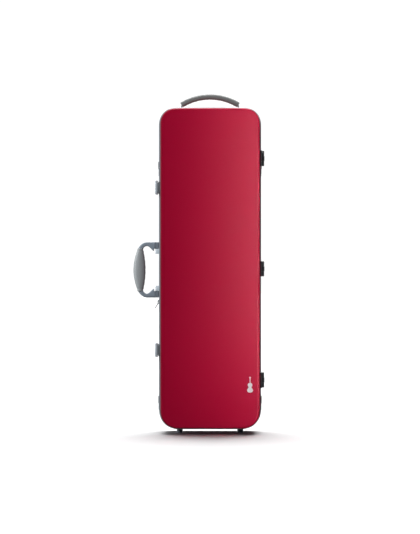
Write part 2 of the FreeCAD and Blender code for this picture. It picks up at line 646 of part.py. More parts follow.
HOLLOW_INSET = "(rim_proud + base_wall + foam_gap)"
HOLLOW_SIDE = f"(rim_side - {HOLLOW_INSET})"
HOLLOW_HIGH = f"(rim_high - {HOLLOW_INSET})"
HOLLOW_BACK = "(back - base_wall - foam_gap)"
HOLLOW_DEPTH = f"({HOLLOW_BACK} - (foam_front))"


def hollow():
    """The space inside the base shell, from the foam's face to the back wall."""
    space = prism("XZ", "foam_front", HOLLOW_BACK, case_outline(HOLLOW_INSET))
    return fillet(space, "base_edge_radius - base_wall - foam_gap", flat_at("Y", 0))


def rectangle(left, right, low, high):
    """A plain rectangle."""
    return polygon((left, low), (right, low), (right, high), (left, high))


def make_violin_bed():
    """A foam block with a well in the outline of a violin's body: two bouts, a waist and the neck's slot."""
    bed = prism("XZ", "foam_front", HOLLOW_BACK, rectangle("-rim_side", "rim_side", "rim_low", "bed_top"))
    depth = f"{HOLLOW_DEPTH} - bed_floor"
    for outline in (
            circle_outline("0", "lower_bout", "lower_bout_radius"),
            circle_outline("0", "upper_bout", "upper_bout_radius"),
            rectangle("-waist_half_width", "waist_half_width", "waist_low", "waist_high"),
            rectangle("-neck_half_width", "neck_half_width", "upper_bout", "bed_top + 1")):
        pocket(bed, "XZ", HOLLOW_DEPTH, depth, outline)
    node(common(bed, hollow()), "violin_bed")


def make_well(label, left, right, corner):
    """An open foam box beside the neck, with rounded inner corners."""
    block = prism("XZ", "foam_front", HOLLOW_BACK, rectangle(left, right, "box_low", "rim_high"))
    inner = [f"{left} + box_wall", f"{right} - box_wall"]
    if label == "accessory_box":
        inner[0] = f"-({HOLLOW_SIDE} - box_wall)"
        radii = (corner, corner, "top_radius - base_wall - box_wall", corner)
    else:
        inner[1] = f"{HOLLOW_SIDE} - box_wall"
        radii = (corner, "top_radius - base_wall - box_wall", corner, corner)
    pocket(block, "XZ", HOLLOW_DEPTH, f"{HOLLOW_DEPTH} - box_floor",
           rounded_rectangle(*inner, "box_low + box_wall", f"{HOLLOW_HIGH} - box_wall", radii))
    node(common(block, hollow()), label)


def make_compartments():
    """Beside the neck: a covered accessory box, an open shoulder-rest well, and the neck's own channel."""
    make_well("accessory_box", "-rim_side", "-divider", "3")
    flap_back = "foam_front - flap_gap"
    flap = prism("XZ", f"{flap_back} - flap_thickness", flap_back, rounded_rectangle(
        "-(flap_hinge - 0.4)", "-(divider + 0.6)", "box_low + 1", f"{HOLLOW_HIGH} - 18", ("8", "8", "26", "2")))
    fillet(flap, "1.2", flat_at("Y", -number("flap_thickness")))
    node(flap, "accessory_flap")
    make_well("shoulder_rest_well", "divider", "rim_side", "12")

    inner = "divider - 0.4"
    channel_front = f"{HOLLOW_BACK} - channel_floor"
    head = f"{HOLLOW_HIGH} - 0.4"
    channel = fuse(
        box((f"-({inner})", inner), (channel_front, HOLLOW_BACK), ("box_low", head)),
        box((f"-({inner})", inner), ("foam_front + 18", channel_front), ("channel_head", head)))
    node(common(channel, hollow()), "neck_channel")
    cradle = cut(
        box((f"-({inner})", inner), ("neck_rest_front", f"{channel_front} - 0.1"),
            ("neck_rest_low", "neck_rest_high")),
        rod("Z", "neck_notch", "0", "neck_rest_front + 4", "neck_rest_low - 1", "neck_rest_high - neck_rest_low + 2"),
        box(("-neck_notch", "neck_notch"), ("neck_rest_front - 1", "neck_rest_front + 4"),
            ("neck_rest_low - 1", "neck_rest_high + 1")))
    node(cradle, "neck_rest")
    strap_back = "neck_rest_front - 0.3"
    node(box((f"-({inner})", inner), (f"{strap_back} - neck_strap_thickness", strap_back),
             ("neck_rest_low + 4", "neck_rest_high - 4")), "neck_strap")


# ---------------------------------------------------------------------------------------------------------
# Interior of the lid
# ---------------------------------------------------------------------------------------------------------

def make_lid_interior():
    """A padded lining, and for each of two bows a tip sleeve, a grooved clip and a turning spinner."""
    inset = "rim_proud + lid_wall + foam_gap"
    lining_front = "front + lid_wall + foam_gap"
    lining = prism("XZ", lining_front, "lid_foam_back", case_outline(inset))
    fillet(lining, "lid_edge_radius - lid_wall - foam_gap", flat_at("Y", number(f"{lining_front} - (lid_foam_back)")))
    pocket(lining, "XZ", "0", f"lid_foam_back - ({lining_front}) - lid_foam",
           case_outline(f"{inset} + lid_foam_wall"), along_normal=True)
    node(lining, "lid_lining")
    floor = f"{lining_front} + lid_foam + 0.1"
    for name, side in (("left", -1), ("right", 1)):
        middle = f"{side} * bow_offset"
        sleeve = box((f"{middle} - sleeve_half_width", f"{middle} + sleeve_half_width"),
                     (floor, f"{floor} + sleeve_depth"), ("sleeve_low", "sleeve_high"))
        bore = rod("Z", "bow_bore", middle, f"{floor} + sleeve_depth / 2", "sleeve_low + 6", "sleeve_high")
        node(cut(sleeve, bore), f"bow_tip_sleeve_{name}")
        clip = box((f"{middle} - clip_half_width", f"{middle} + clip_half_width"), (floor, f"{floor} + clip_depth"),
                   ("clip_middle - clip_half_height", "clip_middle + clip_half_height"))
        groove_x = f"{middle} - {side} * 5"
        groove = box((f"{groove_x} - clip_groove", f"{groove_x} + clip_groove"),
                     (f"{floor} + 5", f"{floor} + clip_depth + 1"),
                     ("clip_middle - clip_half_height - 1", "clip_middle + clip_half_height + 1"))
        stem_x = f"{middle} + {side} * 8"
        stem_hole = rod("Y", "spinner_stem_radius + pin_clearance", stem_x, f"{floor} + clip_depth - 8",
                        "clip_middle", "9")
        node(cut(clip, groove, stem_hole), f"bow_clip_{name}")
        turner_back = f"{floor} + clip_depth + spinner_gap"
        blade = prism("XZ", turner_back, f"{turner_back} + spinner_thickness", rounded_rectangle(
            "-spinner_half_width", "spinner_half_width", "-spinner_half_width",
            "2 * spinner_half_length - spinner_half_width", ("4.8", "4.8", "4.8", "4.8")))
        bind(blade, x=stem_x, z="clip_middle")
        stem = rod("Y", "spinner_stem_radius", stem_x, f"{floor} + clip_depth - 7", "clip_middle",
                   "7 + spinner_gap + 1")
        node(fuse(blade, stem), f"bow_spinner_{name}")


def make_screws():
    """Pan heads on the leaves of the hinges: one group moves with the lid, the other stays on the base."""
    hinges = ("hinge_upper", "hinge_middle", "hinge_lower")
    face = "rim_side + leaf_thickness"
    for label, depth in (("hinge_screws_lid", "seam - lid_leaf_reach + 9"), ("hinge_screws_base", "seam + 17")):
        heads = [rod("X", "screw_radius", face, depth, f"{middle} + {side} * 11", "screw_height")
                 for middle in hinges for side in (-1, 1)]
        node(group(*heads), label)


# ---------------------------------------------------------------------------------------------------------
# Build, check and write
# ---------------------------------------------------------------------------------------------------------

make_shells()
make_rims()
for hinge in ("upper", "middle", "lower"):
    make_hinge(hinge, f"hinge_{hinge}")
for latch in ("upper", "lower"):
    make_latch(latch, f"latch_{latch}")
make_side_handle()
make_top_handle()
make_feet()
for level in ("upper", "lower"):
    for hand, toward in (("left", -1), ("right", 1)):
        make_strap_anchor(f"{level}_{hand}", toward, f"anchor_{level}")
make_key_ring()
make_violin_bed()
make_compartments()
make_lid_interior()
make_screws()
doc.recompute()

for thing in doc.Objects:
    if "Invalid" in thing.State or "Error" in thing.State:
        raise RuntimeError(f"{thing.Label} ({thing.Name}) is {thing.State}")
os.makedirs("parts", exist_ok=True)
for thing in NODES:
    if thing.Shape.isNull() or not thing.Shape.isValid():
        raise RuntimeError(f"{thing.Label} has no valid shape")
    thing.Shape.exportStep(f"parts/{thing.Label}.step")
print(len(NODES), "nodes written")
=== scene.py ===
"""An oblong hard violin case standing on its tail feet, with its fittings, padded grips and lined inside.

Every size is in metres, in the frame's own axes: +Z up, the lid's face towards -Y, the latches and the side
handle at -X, the hinges at +X, and the origin on the floor under the middle of the shells.
"""
import json
import math

import bmesh
import bpy
import numpy as np
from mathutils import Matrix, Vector

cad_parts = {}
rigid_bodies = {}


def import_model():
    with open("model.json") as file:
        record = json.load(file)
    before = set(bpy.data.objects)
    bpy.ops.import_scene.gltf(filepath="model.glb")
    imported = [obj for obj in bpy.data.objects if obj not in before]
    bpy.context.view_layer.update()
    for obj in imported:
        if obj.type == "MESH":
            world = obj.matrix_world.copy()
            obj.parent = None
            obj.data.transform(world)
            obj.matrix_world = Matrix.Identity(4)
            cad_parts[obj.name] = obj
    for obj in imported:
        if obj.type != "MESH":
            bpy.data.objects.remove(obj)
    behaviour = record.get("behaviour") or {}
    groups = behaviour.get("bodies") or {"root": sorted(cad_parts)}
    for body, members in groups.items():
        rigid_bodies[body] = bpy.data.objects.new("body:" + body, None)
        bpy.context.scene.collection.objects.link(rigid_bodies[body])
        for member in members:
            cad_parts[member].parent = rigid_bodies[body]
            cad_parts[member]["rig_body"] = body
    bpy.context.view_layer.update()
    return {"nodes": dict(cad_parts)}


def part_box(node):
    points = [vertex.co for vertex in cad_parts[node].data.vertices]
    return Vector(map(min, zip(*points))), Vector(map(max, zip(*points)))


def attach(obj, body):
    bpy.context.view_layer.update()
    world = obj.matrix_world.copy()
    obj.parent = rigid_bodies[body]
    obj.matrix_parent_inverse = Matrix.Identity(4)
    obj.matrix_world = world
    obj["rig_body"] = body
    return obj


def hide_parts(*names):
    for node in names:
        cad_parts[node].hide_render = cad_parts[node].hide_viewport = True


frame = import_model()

MM = 0.001
MERGE = 2e-6


# ---- Meshes from arrays ----

def quads(rows, columns, wrap_rows, wrap_columns, start):
    """Faces of a grid of points: each joins a point, the next along its row, and the two in the row
    after."""
    row, column = np.meshgrid(np.arange(rows - (not wrap_rows)), np.arange(columns - (not wrap_columns)),
                              indexing="ij")
    below, right = (row + 1) % rows, (column + 1) % columns
    here, under = row * columns, below * columns
    return np.stack((here + column, here + right, under + right, under + column), -1).reshape(-1, 4) + start


def piece(name, grids, material, body, nodes=()):
    """One mesh from grids of points, each (points, wrap rows, wrap columns). Points that meet are merged, so
    seams and poles close, and the faces are turned outwards."""
    points, faces, start = [], [], 0
    for grid, wrap_rows, wrap_columns in grids:
        rows, columns = grid.shape[:2]
        points.append(grid.reshape(-1, 3))
        faces.append(quads(rows, columns, wrap_rows, wrap_columns, start))
        start += rows * columns
    points, faces = np.concatenate(points), np.concatenate(faces)
    mesh = bpy.data.meshes.new(name)
    mesh.vertices.add(len(points))
    mesh.vertices.foreach_set("co", points.astype(np.float32).ravel())
    mesh.loops.add(faces.size)
    mesh.loops.foreach_set("vertex_index", faces.astype(np.int32).ravel())
    mesh.polygons.add(len(faces))
    mesh.polygons.foreach_set("loop_start", np.arange(0, faces.size, 4, dtype=np.int32))
    mesh.update(calc_edges=True)
    return settle(name, mesh, material, body, nodes)


def settle(name, mesh, material, body, nodes, merge=MERGE, sharp=38.0):
    """Merges a mesh's doubled points, closes and turns its faces outwards, and puts it on its body."""
    shape = bmesh.new()
    shape.from_mesh(mesh)
    bmesh.ops.remove_doubles(shape, verts=shape.verts, dist=merge)
    bmesh.ops.dissolve_degenerate(shape, edges=shape.edges, dist=merge / 2)
    bmesh.ops.recalc_face_normals(shape, faces=shape.faces)
    shape.to_mesh(mesh)
    shape.free()
    mesh.polygons.foreach_set("use_smooth", np.ones(len(mesh.polygons), bool))
    if sharp:
        mesh.set_sharp_from_angle(angle=math.radians(sharp))
    mesh.materials.append(material)
    thing = bpy.data.objects.new(name, mesh)
    bpy.context.scene.collection.objects.link(thing)
    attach(thing, body)
    if nodes:
        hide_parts(*nodes)
    return thing


def softened(node, material, width, segments=3):
    """A copy of a frame node with its flat faces joined up and a small round along every sharp edge."""
    source = frame["nodes"][node]
    mesh = source.data.copy()
    mesh.materials.clear()
    shape = bmesh.new()
    shape.from_mesh(mesh)
    bmesh.ops.remove_doubles(shape, verts=shape.verts, dist=1e-6)
    bmesh.ops.dissolve_limit(shape, angle_limit=math.radians(1), verts=shape.verts, edges=shape.edges)
    shape.to_mesh(mesh)
    shape.free()
    thing = settle(node + "_moulding", mesh, material, source["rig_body"], (node,), 1e-7, sharp=0)
    bevel = thing.modifiers.new("edge_round", "BEVEL")
    bevel.width = width
    bevel.segments = segments
    bevel.limit_method = "ANGLE"
    bevel.angle_limit = math.radians(32)
    bevel.harden_normals = True
    return thing


# ---- Curves and surfaces ----

def rounded(corners, closed=True, step=12):
    """A flat path through corners (a, b, radius), in millimetres: straight between them, with an arc of that
    radius at each, drawn with a point every so many degrees. The result is in metres."""
    flat = np.array([corner[:2] for corner in corners], float)
    path = []
    for index, (_, _, radius) in enumerate(corners):
        here = flat[index]
        inner = closed or 0 < index < len(corners) - 1
        if radius <= 0 or not inner:
            path.append(here[None])
            continue
        before, after = flat[index - 1] - here, flat[(index + 1) % len(flat)] - here
        reach_before, reach_after = np.linalg.norm(before), np.linalg.norm(after)
        before, after = before / reach_before, after / reach_after
        turn = math.pi - math.acos(np.clip(before @ after, -1, 1))
        if turn < 1e-3:
            path.append(here[None])
            continue
        cut = min(radius * math.tan(turn / 2), 0.49 * reach_before, 0.49 * reach_after)
        radius = cut / math.tan(turn / 2)
        bisector = (before + after) / np.linalg.norm(before + after)
        centre = here + bisector * radius / math.cos(turn / 2)
        start, end = here + before * cut - centre, here + after * cut - centre
        first = math.atan2(start[1], start[0])
        sweep = (math.atan2(end[1], end[0]) - first + math.pi) % (2 * math.pi) - math.pi
        count = max(2, int(abs(math.degrees(sweep)) / step) + 1)
        angles = first + sweep * np.linspace(0, 1, count + 1)
        path.append(centre + radius * np.stack([np.cos(angles), np.sin(angles)], 1))
    return np.concatenate(path) * MM


def divided(path, longest, closed=True):
    """The same path with points added so that no stretch is longer than that."""
    ends = np.roll(path, -1, 0) if closed else path[1:]
    starts = path if closed else path[:-1]
    made = []
    for start, end in zip(starts, ends):
        count = max(1, math.ceil(np.linalg.norm(end - start) / longest))
        made.append(start + (end - start) * np.arange(count)[:, None] / count)
    if not closed:
        made.append(path[-1:])
    return np.concatenate(made)


def outward(path):
    """Unit normals of a closed flat path, a quarter turn clockwise from its direction at each point."""
    along = np.roll(path, -1, 0) - np.roll(path, 1, 0)
    along = along / np.maximum(np.linalg.norm(along, axis=1, keepdims=True), 1e-12)
    return np.stack([along[:, 1], -along[:, 0]], 1)


def place(flat, depth, plane):
    """Points (a, b) of a plane and a depth along its normal, as points in space. "XZ" is a = x, b = z,
    depth = y; "XY" is a = x, b = y, depth = z; "YZ" is a = y, b = z, depth = x."""
    a, b = flat[..., 0], flat[..., 1]
    depth = np.broadcast_to(depth, a.shape)
    order = {"XZ": (a, depth, b), "XY": (a, b, depth), "YZ": (depth, a, b)}[plane]
    return np.stack(order, -1)


def slab(outline, low, high, edge, plane):
    """A plate cut to an outline, with both rims rounded: the outline carried from low to high, and drawn in
    along its normals by edge * (1 - sin t) at a height of edge * (1 - cos t) as it turns over each rim."""
    after = np.roll(outline, -1, 0)
    clockwise = ((after[:, 0] - outline[:, 0]) * (after[:, 1] + outline[:, 1])).sum() > 0
    if clockwise:
        outline = outline[::-1]
    normal = outward(outline)
    turn = np.linspace(0, math.pi / 2, 5)
    rim = list(zip(edge * (1 - np.sin(turn)), edge * (1 - np.cos(turn))))
    rows = [place(outline - normal * inset, low + lift, plane) for inset, lift in rim]
    rows += [place(outline - normal * inset, high - lift, plane) for inset, lift in rim[::-1]]
    return np.stack(rows)


def plate(name, outline, low, high, edge, plane, material, body, nodes=()):
    """A slab closed by one face at each end."""
    grid = slab(outline, low, high, edge, plane)
    rows, columns = grid.shape[:2]
    mesh = bpy.data.meshes.new(name)
    walls = quads(rows, columns, False, True, 0).tolist()
    last = (rows - 1) * columns
    ends = [list(range(columns))[::-1], list(range(last, last + columns))]
    mesh.from_pydata(grid.reshape(-1, 3).tolist(), [], walls + ends)
    return settle(name, mesh, material, body, nodes)


def sections_along(path, up, closed):
    """At each point of a path in space, two directions square to it and to each other, the first nearest
    up."""
    along = np.roll(path, -1, 0) - np.roll(path, 1, 0) if closed else np.gradient(path, axis=0)
    along = along / np.linalg.norm(along, axis=1, keepdims=True)
    first = up - (along @ up)[:, None] * along
    first = first / np.linalg.norm(first, axis=1, keepdims=True)
    return first, np.cross(along, first)


def tube(path, radius, up=(0.0, 1.0, 0.0), sides=16, closed=False):
    """A round bar along a path: circles square to the path, of a radius that may change along it. An open
    bar ends in a half ball."""
    path = np.asarray(path, float)
    radius = np.broadcast_to(radius, len(path)).astype(float)
    if not closed:
        bow = np.linspace(0, math.pi / 2, 5)
        start, end = path[0] - path[1], path[-1] - path[-2]
        start, end = start / np.linalg.norm(start), end / np.linalg.norm(end)
        head = path[0] + start * radius[0] * np.cos(bow)[:-1, None]
        tail = path[-1] + end * radius[-1] * np.sin(bow)[1:, None]
        path = np.concatenate([head, path, tail])
        radius = np.concatenate([radius[0] * np.sin(bow)[:-1], radius, radius[-1] * np.cos(bow)[1:]])
    first, second = sections_along(path, np.asarray(up, float), closed)
    angle = np.linspace(0, 2 * math.pi, sides, endpoint=False)
    section = np.cos(angle)[None, :, None] * first[:, None] + np.sin(angle)[None, :, None] * second[:, None]
    return path[:, None] + radius[:, None, None] * section, closed, True


def turned(profile, centre, sides):
    """A profile of (radius, height) turned about an upright axis through centre."""
    angle = np.linspace(0, 2 * math.pi, sides, endpoint=False)
    radius, height = profile[:, 0][:, None], profile[:, 1][:, None]
    across, over = radius * np.cos(angle), radius * np.sin(angle)
    height = np.broadcast_to(height, across.shape)
    return np.stack([across, over, height], -1) + np.asarray(centre), False, True


def ease(share):
    """0 below 0, 1 above 1, and smooth between."""
    share = np.clip(share, 0, 1)
    return share * share * (3 - 2 * share)


# ---- Node groups and materials ----

def add(tree, kind, inputs=None, **settings):
    """A node with its settings, and its inputs by name or number: each is a value or another node's
    output."""
    node = tree.nodes.new(kind)
    for key, value in settings.items():
        setattr(node, key, value)
    for key, value in (inputs or {}).items():
        if isinstance(value, bpy.types.NodeSocket):
            tree.links.new(value, node.inputs[key])
        else:
            node.inputs[key].default_value = value
    return node


def math_node(tree, operation, first, second=0.0):
    return add(tree, "ShaderNodeMath", {0: first, 1: second}, operation=operation).outputs[0]


def times(tree, first, second):
    return math_node(tree, "MULTIPLY", first, second)


def plus(tree, first, second):
    return math_node(tree, "ADD", first, second)


def centred(tree, value, swing):
    """A value about 0.5 turned into one about 0, and scaled."""
    return times(tree, math_node(tree, "SUBTRACT", value, 0.5), swing)


def mix_colour(tree, share, first, second, blend="MIX"):
    node = add(tree, "ShaderNodeMix", data_type="RGBA", blend_type=blend)
    for key, value in ((0, share), (6, first), (7, second)):
        if isinstance(value, bpy.types.NodeSocket):
            tree.links.new(value, node.inputs[key])
        else:
            node.inputs[key].default_value = value
    return node.outputs[2]


def ramp(tree, value, low, high):
    """0 where the value is low or less, 1 where it is high or more."""
    return add(tree, "ShaderNodeMapRange", {0: value, 1: low, 2: high}).outputs[0]


def noise(tree, vector, scale, detail, roughness=0.55):
    return add(tree, "ShaderNodeTexNoise", {"Vector": vector, "Scale": scale, "Detail": detail,
                                            "Roughness": roughness}).outputs["Fac"]


def new_group(name, **values):
    """A finish's shader node group: it is given a vector and named values, colours as four numbers and
    the rest as one, and its results are Color, Roughness and Height."""
    tree = bpy.data.node_groups.new(name, "ShaderNodeTree")
    for label, value in {"Vector": (0, 0, 0), **values}.items():
        kind = "Vector" if label == "Vector" else "Color" if value == GREY else "Float"
        socket = tree.interface.new_socket(label.replace("_", " "), in_out="INPUT",
                                           socket_type="NodeSocket" + kind)
        socket.default_value = value
    for label, kind in (("Color", "Color"), ("Roughness", "Float"), ("Height", "Float")):
        tree.interface.new_socket(label, in_out="OUTPUT", socket_type="NodeSocket" + kind)
    return tree, tree.nodes.new("NodeGroupInput").outputs, tree.nodes.new("NodeGroupOutput").inputs


GREY = (0.5, 0.5, 0.5, 1.0)


def give(tree, results, colour_value, rough, height):
    """Links the group's three results."""
    for label, value in (("Color", colour_value), ("Roughness", rough), ("Height", height)):
        tree.links.new(value, results[label])
    return tree


def moulded_group():
    """Moulded or painted plastic and rubber: faintly cloudy colour, a fine pebble, and pale rubbed edges."""
    tree, given, results = new_group("moulded_finish", Color=GREY, Worn_Color=GREY, Roughness=0.5,
                                     Grain_Scale=1500.0, Clouding=0.08, Wear=0.3)
    cloud = noise(tree, given["Vector"], 9.0, 4.0)
    grain = add(tree, "ShaderNodeTexVoronoi", {"Vector": given["Vector"], "Scale": given["Grain Scale"]},
                feature="SMOOTH_F1").outputs["Distance"]
    fine = noise(tree, given["Vector"], given["Grain Scale"], 2.0)
    shade = plus(tree, centred(tree, cloud, given["Clouding"]), 1.0)
    grey = add(tree, "ShaderNodeCombineColor", {0: shade, 1: shade, 2: shade}).outputs[0]
    coloured = mix_colour(tree, 1.0, given["Color"], grey, "MULTIPLY")
    edge = ramp(tree, add(tree, "ShaderNodeNewGeometry").outputs["Pointiness"], 0.58, 0.72)
    patches = ramp(tree, noise(tree, given["Vector"], 140.0, 5.0, 0.7), 0.42, 0.66)
    rubbed = times(tree, times(tree, edge, patches), given["Wear"])
    coloured = mix_colour(tree, rubbed, coloured, given["Worn Color"])
    handled = centred(tree, noise(tree, given["Vector"], 26.0, 5.0), 0.12)
    rough = plus(tree, given["Roughness"], handled)
    height = plus(tree, times(tree, grain, 0.6), times(tree, fine, 0.4))
    return give(tree, results, coloured, rough, height)


def leather_group():
    """Coated leather: small cells parted by creases, deeper in places, with painted shade in the creases,
    and a polish on the raised parts.
    """
    tree, given, results = new_group("leather_grain", Color=GREY, Crease_Color=GREY, Roughness=0.5,
                                     Cell_Scale=900.0)
    bend = add(tree, "ShaderNodeTexNoise", {"Vector": given["Vector"], "Scale": 260.0, "Detail": 2.0})
    warped = add(tree, "ShaderNodeVectorMath", {0: bend.outputs["Color"], 1: (0.0016, 0.0016, 0.0016)},
                 operation="MULTIPLY").outputs[0]
    vector = add(tree, "ShaderNodeVectorMath", {0: given["Vector"], 1: warped}, operation="ADD").outputs[0]
    cells = add(tree, "ShaderNodeTexVoronoi", {"Vector": vector, "Scale": given["Cell Scale"]},
                feature="DISTANCE_TO_EDGE").outputs["Distance"]
    raised = ramp(tree, cells, 0.0, 0.22)
    fold = ramp(tree, noise(tree, vector, 120.0, 3.0, 0.5), 0.3, 0.6)
    height = plus(tree, times(tree, raised, 0.85), times(tree, fold, 0.15))
    # Painted shade: the crease colour darkens the low creases between the cells.
    share = times(tree, math_node(tree, "SUBTRACT", 1.0, height), 0.45)
    coloured = mix_colour(tree, share, given["Color"], given["Crease Color"])
    polish = times(tree, height, -0.12)
    rough = plus(tree, plus(tree, given["Roughness"], 0.08), polish)
    return give(tree, results, coloured, rough, height)


def pile_group():
    """Short plush: a dense nap of fibre tips, brushed one way or the other in soft patches, with painted
    shade where the tips are low.
    """
    tree, given, results = new_group("plush_pile", Color=GREY, Brushed_Color=GREY, Fibre_Scale=1400.0)
    brushed = add(tree, "ShaderNodeMapping", {"Vector": given["Vector"],
                                              "Scale": (1.0, 1.0, 0.45)}).outputs[0]
    tips = noise(tree, brushed, given["Fibre Scale"], 2.0, 0.7)
    patches = ramp(tree, noise(tree, given["Vector"], 34.0, 3.0, 0.5), 0.4, 0.62)
    tint = mix_colour(tree, times(tree, patches, 0.55), given["Color"], given["Brushed Color"])
    # Painted shade: the nap is darkened where the fibre tips are low.
    dark = plus(tree, times(tree, ramp(tree, tips, 0.3, 0.6), 0.45), 0.62)
    grey = add(tree, "ShaderNodeCombineColor", {0: dark, 1: dark, 2: dark}).outputs[0]
    coloured = mix_colour(tree, 1.0, tint, grey, "MULTIPLY")
    rough = plus(tree, times(tree, patches, 0.08), 0.86)
    return give(tree, results, coloured, rough, tips)


def metal_group():
    """Drawn and polished steel: fine lines along one axis, with faint finger marks."""
    tree, given, results = new_group("drawn_metal", Color=GREY, Tarnish_Color=GREY, Roughness=0.25,
                                     Line_Scale=900.0)
    drawn = add(tree, "ShaderNodeMapping", {"Vector": given["Vector"], "Scale": (1.0, 1.0, 0.06)}).outputs[0]
    lines = noise(tree, drawn, given["Line Scale"], 3.0, 0.6)
    marks = ramp(tree, noise(tree, given["Vector"], 160.0, 4.0, 0.6), 0.5, 0.72)
    coloured = mix_colour(tree, times(tree, marks, 0.5), given["Color"], given["Tarnish Color"])
    rough = plus(tree, given["Roughness"], times(tree, marks, 0.16))
    rough = plus(tree, rough, centred(tree, lines, 0.14))
    return give(tree, results, coloured, rough, lines)


def weave_group():
    """Woven tape or cloth: two sets of rounded yarns at right angles, over and under by turns, with painted
    shade in the gaps between the yarns.
    """
    tree, given, results = new_group("tape_weave", Color=GREY, Gap_Color=GREY, Yarn_Scale=1100.0)
    axes = add(tree, "ShaderNodeSeparateXYZ", {0: given["Vector"]})
    first = times(tree, axes.outputs["X"], given["Yarn Scale"])
    second = times(tree, axes.outputs["Z"], given["Yarn Scale"])
    warp = math_node(tree, "ABSOLUTE", math_node(tree, "SINE", first))
    weft = math_node(tree, "ABSOLUTE", math_node(tree, "SINE", second))
    parity = times(tree, math_node(tree, "SINE", first), math_node(tree, "SINE", second))
    over = ramp(tree, parity, -0.1, 0.1)
    yarns = add(tree, "ShaderNodeMix", {0: over, 2: warp, 3: weft}, data_type="FLOAT").outputs[0]
    fuzz = noise(tree, given["Vector"], 4200.0, 2.0)
    height = plus(tree, times(tree, yarns, 0.8), times(tree, fuzz, 0.2))
    # Painted shade: the gap colour darkens the low parts between and under the yarns.
    coloured = mix_colour(tree, math_node(tree, "SUBTRACT", 1.0, height), given["Color"], given["Gap Color"])
    rough = plus(tree, times(tree, yarns, -0.1), 0.85)
    return give(tree, results, coloured, rough, height)


MOULDED, LEATHER, PILE = moulded_group(), leather_group(), pile_group()
METAL, WEAVE = metal_group(), weave_group()


def colour(red, green, blue):
    """A colour from its screen values, 0 to 255."""
    screen = np.array([red, green, blue]) / 255
    linear = np.where(screen <= 0.04045, screen / 12.92, ((screen + 0.055) / 1.055) ** 2.4)
    return (*linear, 1.0)


def finish(name, group, values, bump, depth, **shader):
    """A material: one finish group on Object coordinates, its height as bump of that depth in metres, and
    the shader's own uniform values by socket name, with _ for a space."""
    made = bpy.data.materials.new(name)
    made.use_nodes = True
    tree = made.node_tree
    tree.nodes.clear()
    vector = add(tree, "ShaderNodeTexCoord").outputs["Object"]
    look = add(tree, "ShaderNodeGroup", node_tree=group)
    tree.links.new(vector, look.inputs["Vector"])
    for label, value in values.items():
        look.inputs[label].default_value = value
    relief = add(tree, "ShaderNodeBump", {"Height": look.outputs["Height"], "Strength": bump,
                                          "Distance": depth})
    surface = add(tree, "ShaderNodeBsdfPrincipled", {
        "Base Color": look.outputs["Color"], "Roughness": look.outputs["Roughness"],
        "Normal": relief.outputs[0]})
    for label, value in shader.items():
        surface.inputs[label.replace("_", " ")].default_value = value
    add(tree, "ShaderNodeOutputMaterial", {"Surface": surface.outputs[0]})
    return made


def moulded(name, base, worn, roughness, grain, clouding, wear, bump, depth, **shader):
    """A material with the moulded finish."""
    return finish(name, MOULDED, {"Color": base, "Worn Color": worn, "Roughness": roughness,
                                  "Grain Scale": grain,
                                  "Clouding": clouding, "Wear": wear}, bump, depth, **shader)


SHELL = moulded("crimson_satin_shell", (0.27, 0.0026, 0.0215, 1), (0.42, 0.03, 0.06, 1), 0.33, 2600.0, 0.05,
                0.25,
                0.10, 0.00006, Specular_IOR_Level=0.28)
TRIM = moulded("grey_trim_extrusion", colour(156, 165, 173), colour(190, 196, 200), 0.38, 3600.0, 0.04, 0.15,
               0.04, 0.00003, Metallic=0.35)
SEAL = moulded("black_gasket_foam", colour(28, 29, 31), colour(60, 60, 62), 0.8, 1800.0, 0.15, 0.2, 0.5,
               0.0001)
HINGE = moulded("charcoal_hinge_plastic", colour(88, 93, 98), colour(120, 124, 128), 0.42, 2600.0, 0.06,
                0.25,
                0.3, 0.00006, Specular_IOR_Level=0.4)
LATCH = moulded("silver_latch_plastic", colour(190, 199, 206), colour(220, 225, 228), 0.34, 3000.0, 0.04,
                0.15,
                0.08, 0.00004, Metallic=0.15)
BOW = moulded("blue_grey_handle_plastic", colour(118, 128, 138), colour(160, 168, 176), 0.36, 2600.0, 0.05,
              0.2,
              0.2, 0.00006)
RUBBER = moulded("charcoal_foot_rubber", colour(104, 108, 116), colour(140, 142, 148), 0.62, 1500.0, 0.2,
                 0.5,
                 0.5, 0.00012)
CLIP = moulded("black_bow_holder_plastic", colour(34, 35, 38), colour(96, 98, 100), 0.4, 1700.0, 0.1, 0.4,
               0.3, 0.00008)
PRINT = moulded("white_emblem_print", colour(253, 253, 253), colour(200, 190, 192), 0.4, 2600.0, 0.04, 0.3,
                0.1, 0.00003)
STEEL = finish("bright_steel", METAL, {"Color": colour(196, 199, 202),
                                       "Tarnish Color": colour(150, 150, 148),
                                       "Roughness": 0.2, "Line Scale": 1200.0}, 0.15, 0.00004, Metallic=1.0)
# The crease colours of the grip and the sleeve leather are painted shade in the creases.
GRIP = finish("grey_grip_leather", LEATHER, {"Color": colour(143, 148, 150),
                                             "Crease Color": colour(104, 108, 112),
                                             "Roughness": 0.46, "Cell Scale": 1150.0}, 0.3, 0.00012)
SLEEVE = finish("dark_sleeve_leather", LEATHER, {"Color": colour(122, 125, 124),
                                                 "Crease Color": colour(80, 80, 80),
                                                 "Roughness": 0.5, "Cell Scale": 1150.0}, 0.3, 0.00012)
# The gap colour of the stitching thread is painted shade between its yarns.
THREAD = finish("dark_stitching_thread", WEAVE, {"Color": colour(62, 58, 62),
                                                 "Gap Color": colour(26, 24, 28),
                                                 "Yarn Scale": 5200.0}, 0.6, 0.0001)
PLUSH = finish("wine_plush", PILE, {"Color": colour(96, 22, 40), "Brushed Color": colour(128, 38, 58),
                                    "Fibre Scale": 1500.0}, 0.7, 0.0005, Sheen_Weight=0.6,
                                    Sheen_Roughness=0.45,
               Sheen_Tint=(0.9, 0.45, 0.55, 1))
LINING = finish("grey_lining_plush", PILE, {"Color": colour(70, 72, 78),
                                            "Brushed Color": colour(94, 96, 104),
                                            "Fibre Scale": 1500.0}, 0.7, 0.0005, Sheen_Weight=0.5,
                Sheen_Roughness=0.45, Sheen_Tint=(0.8, 0.82, 0.9, 1))
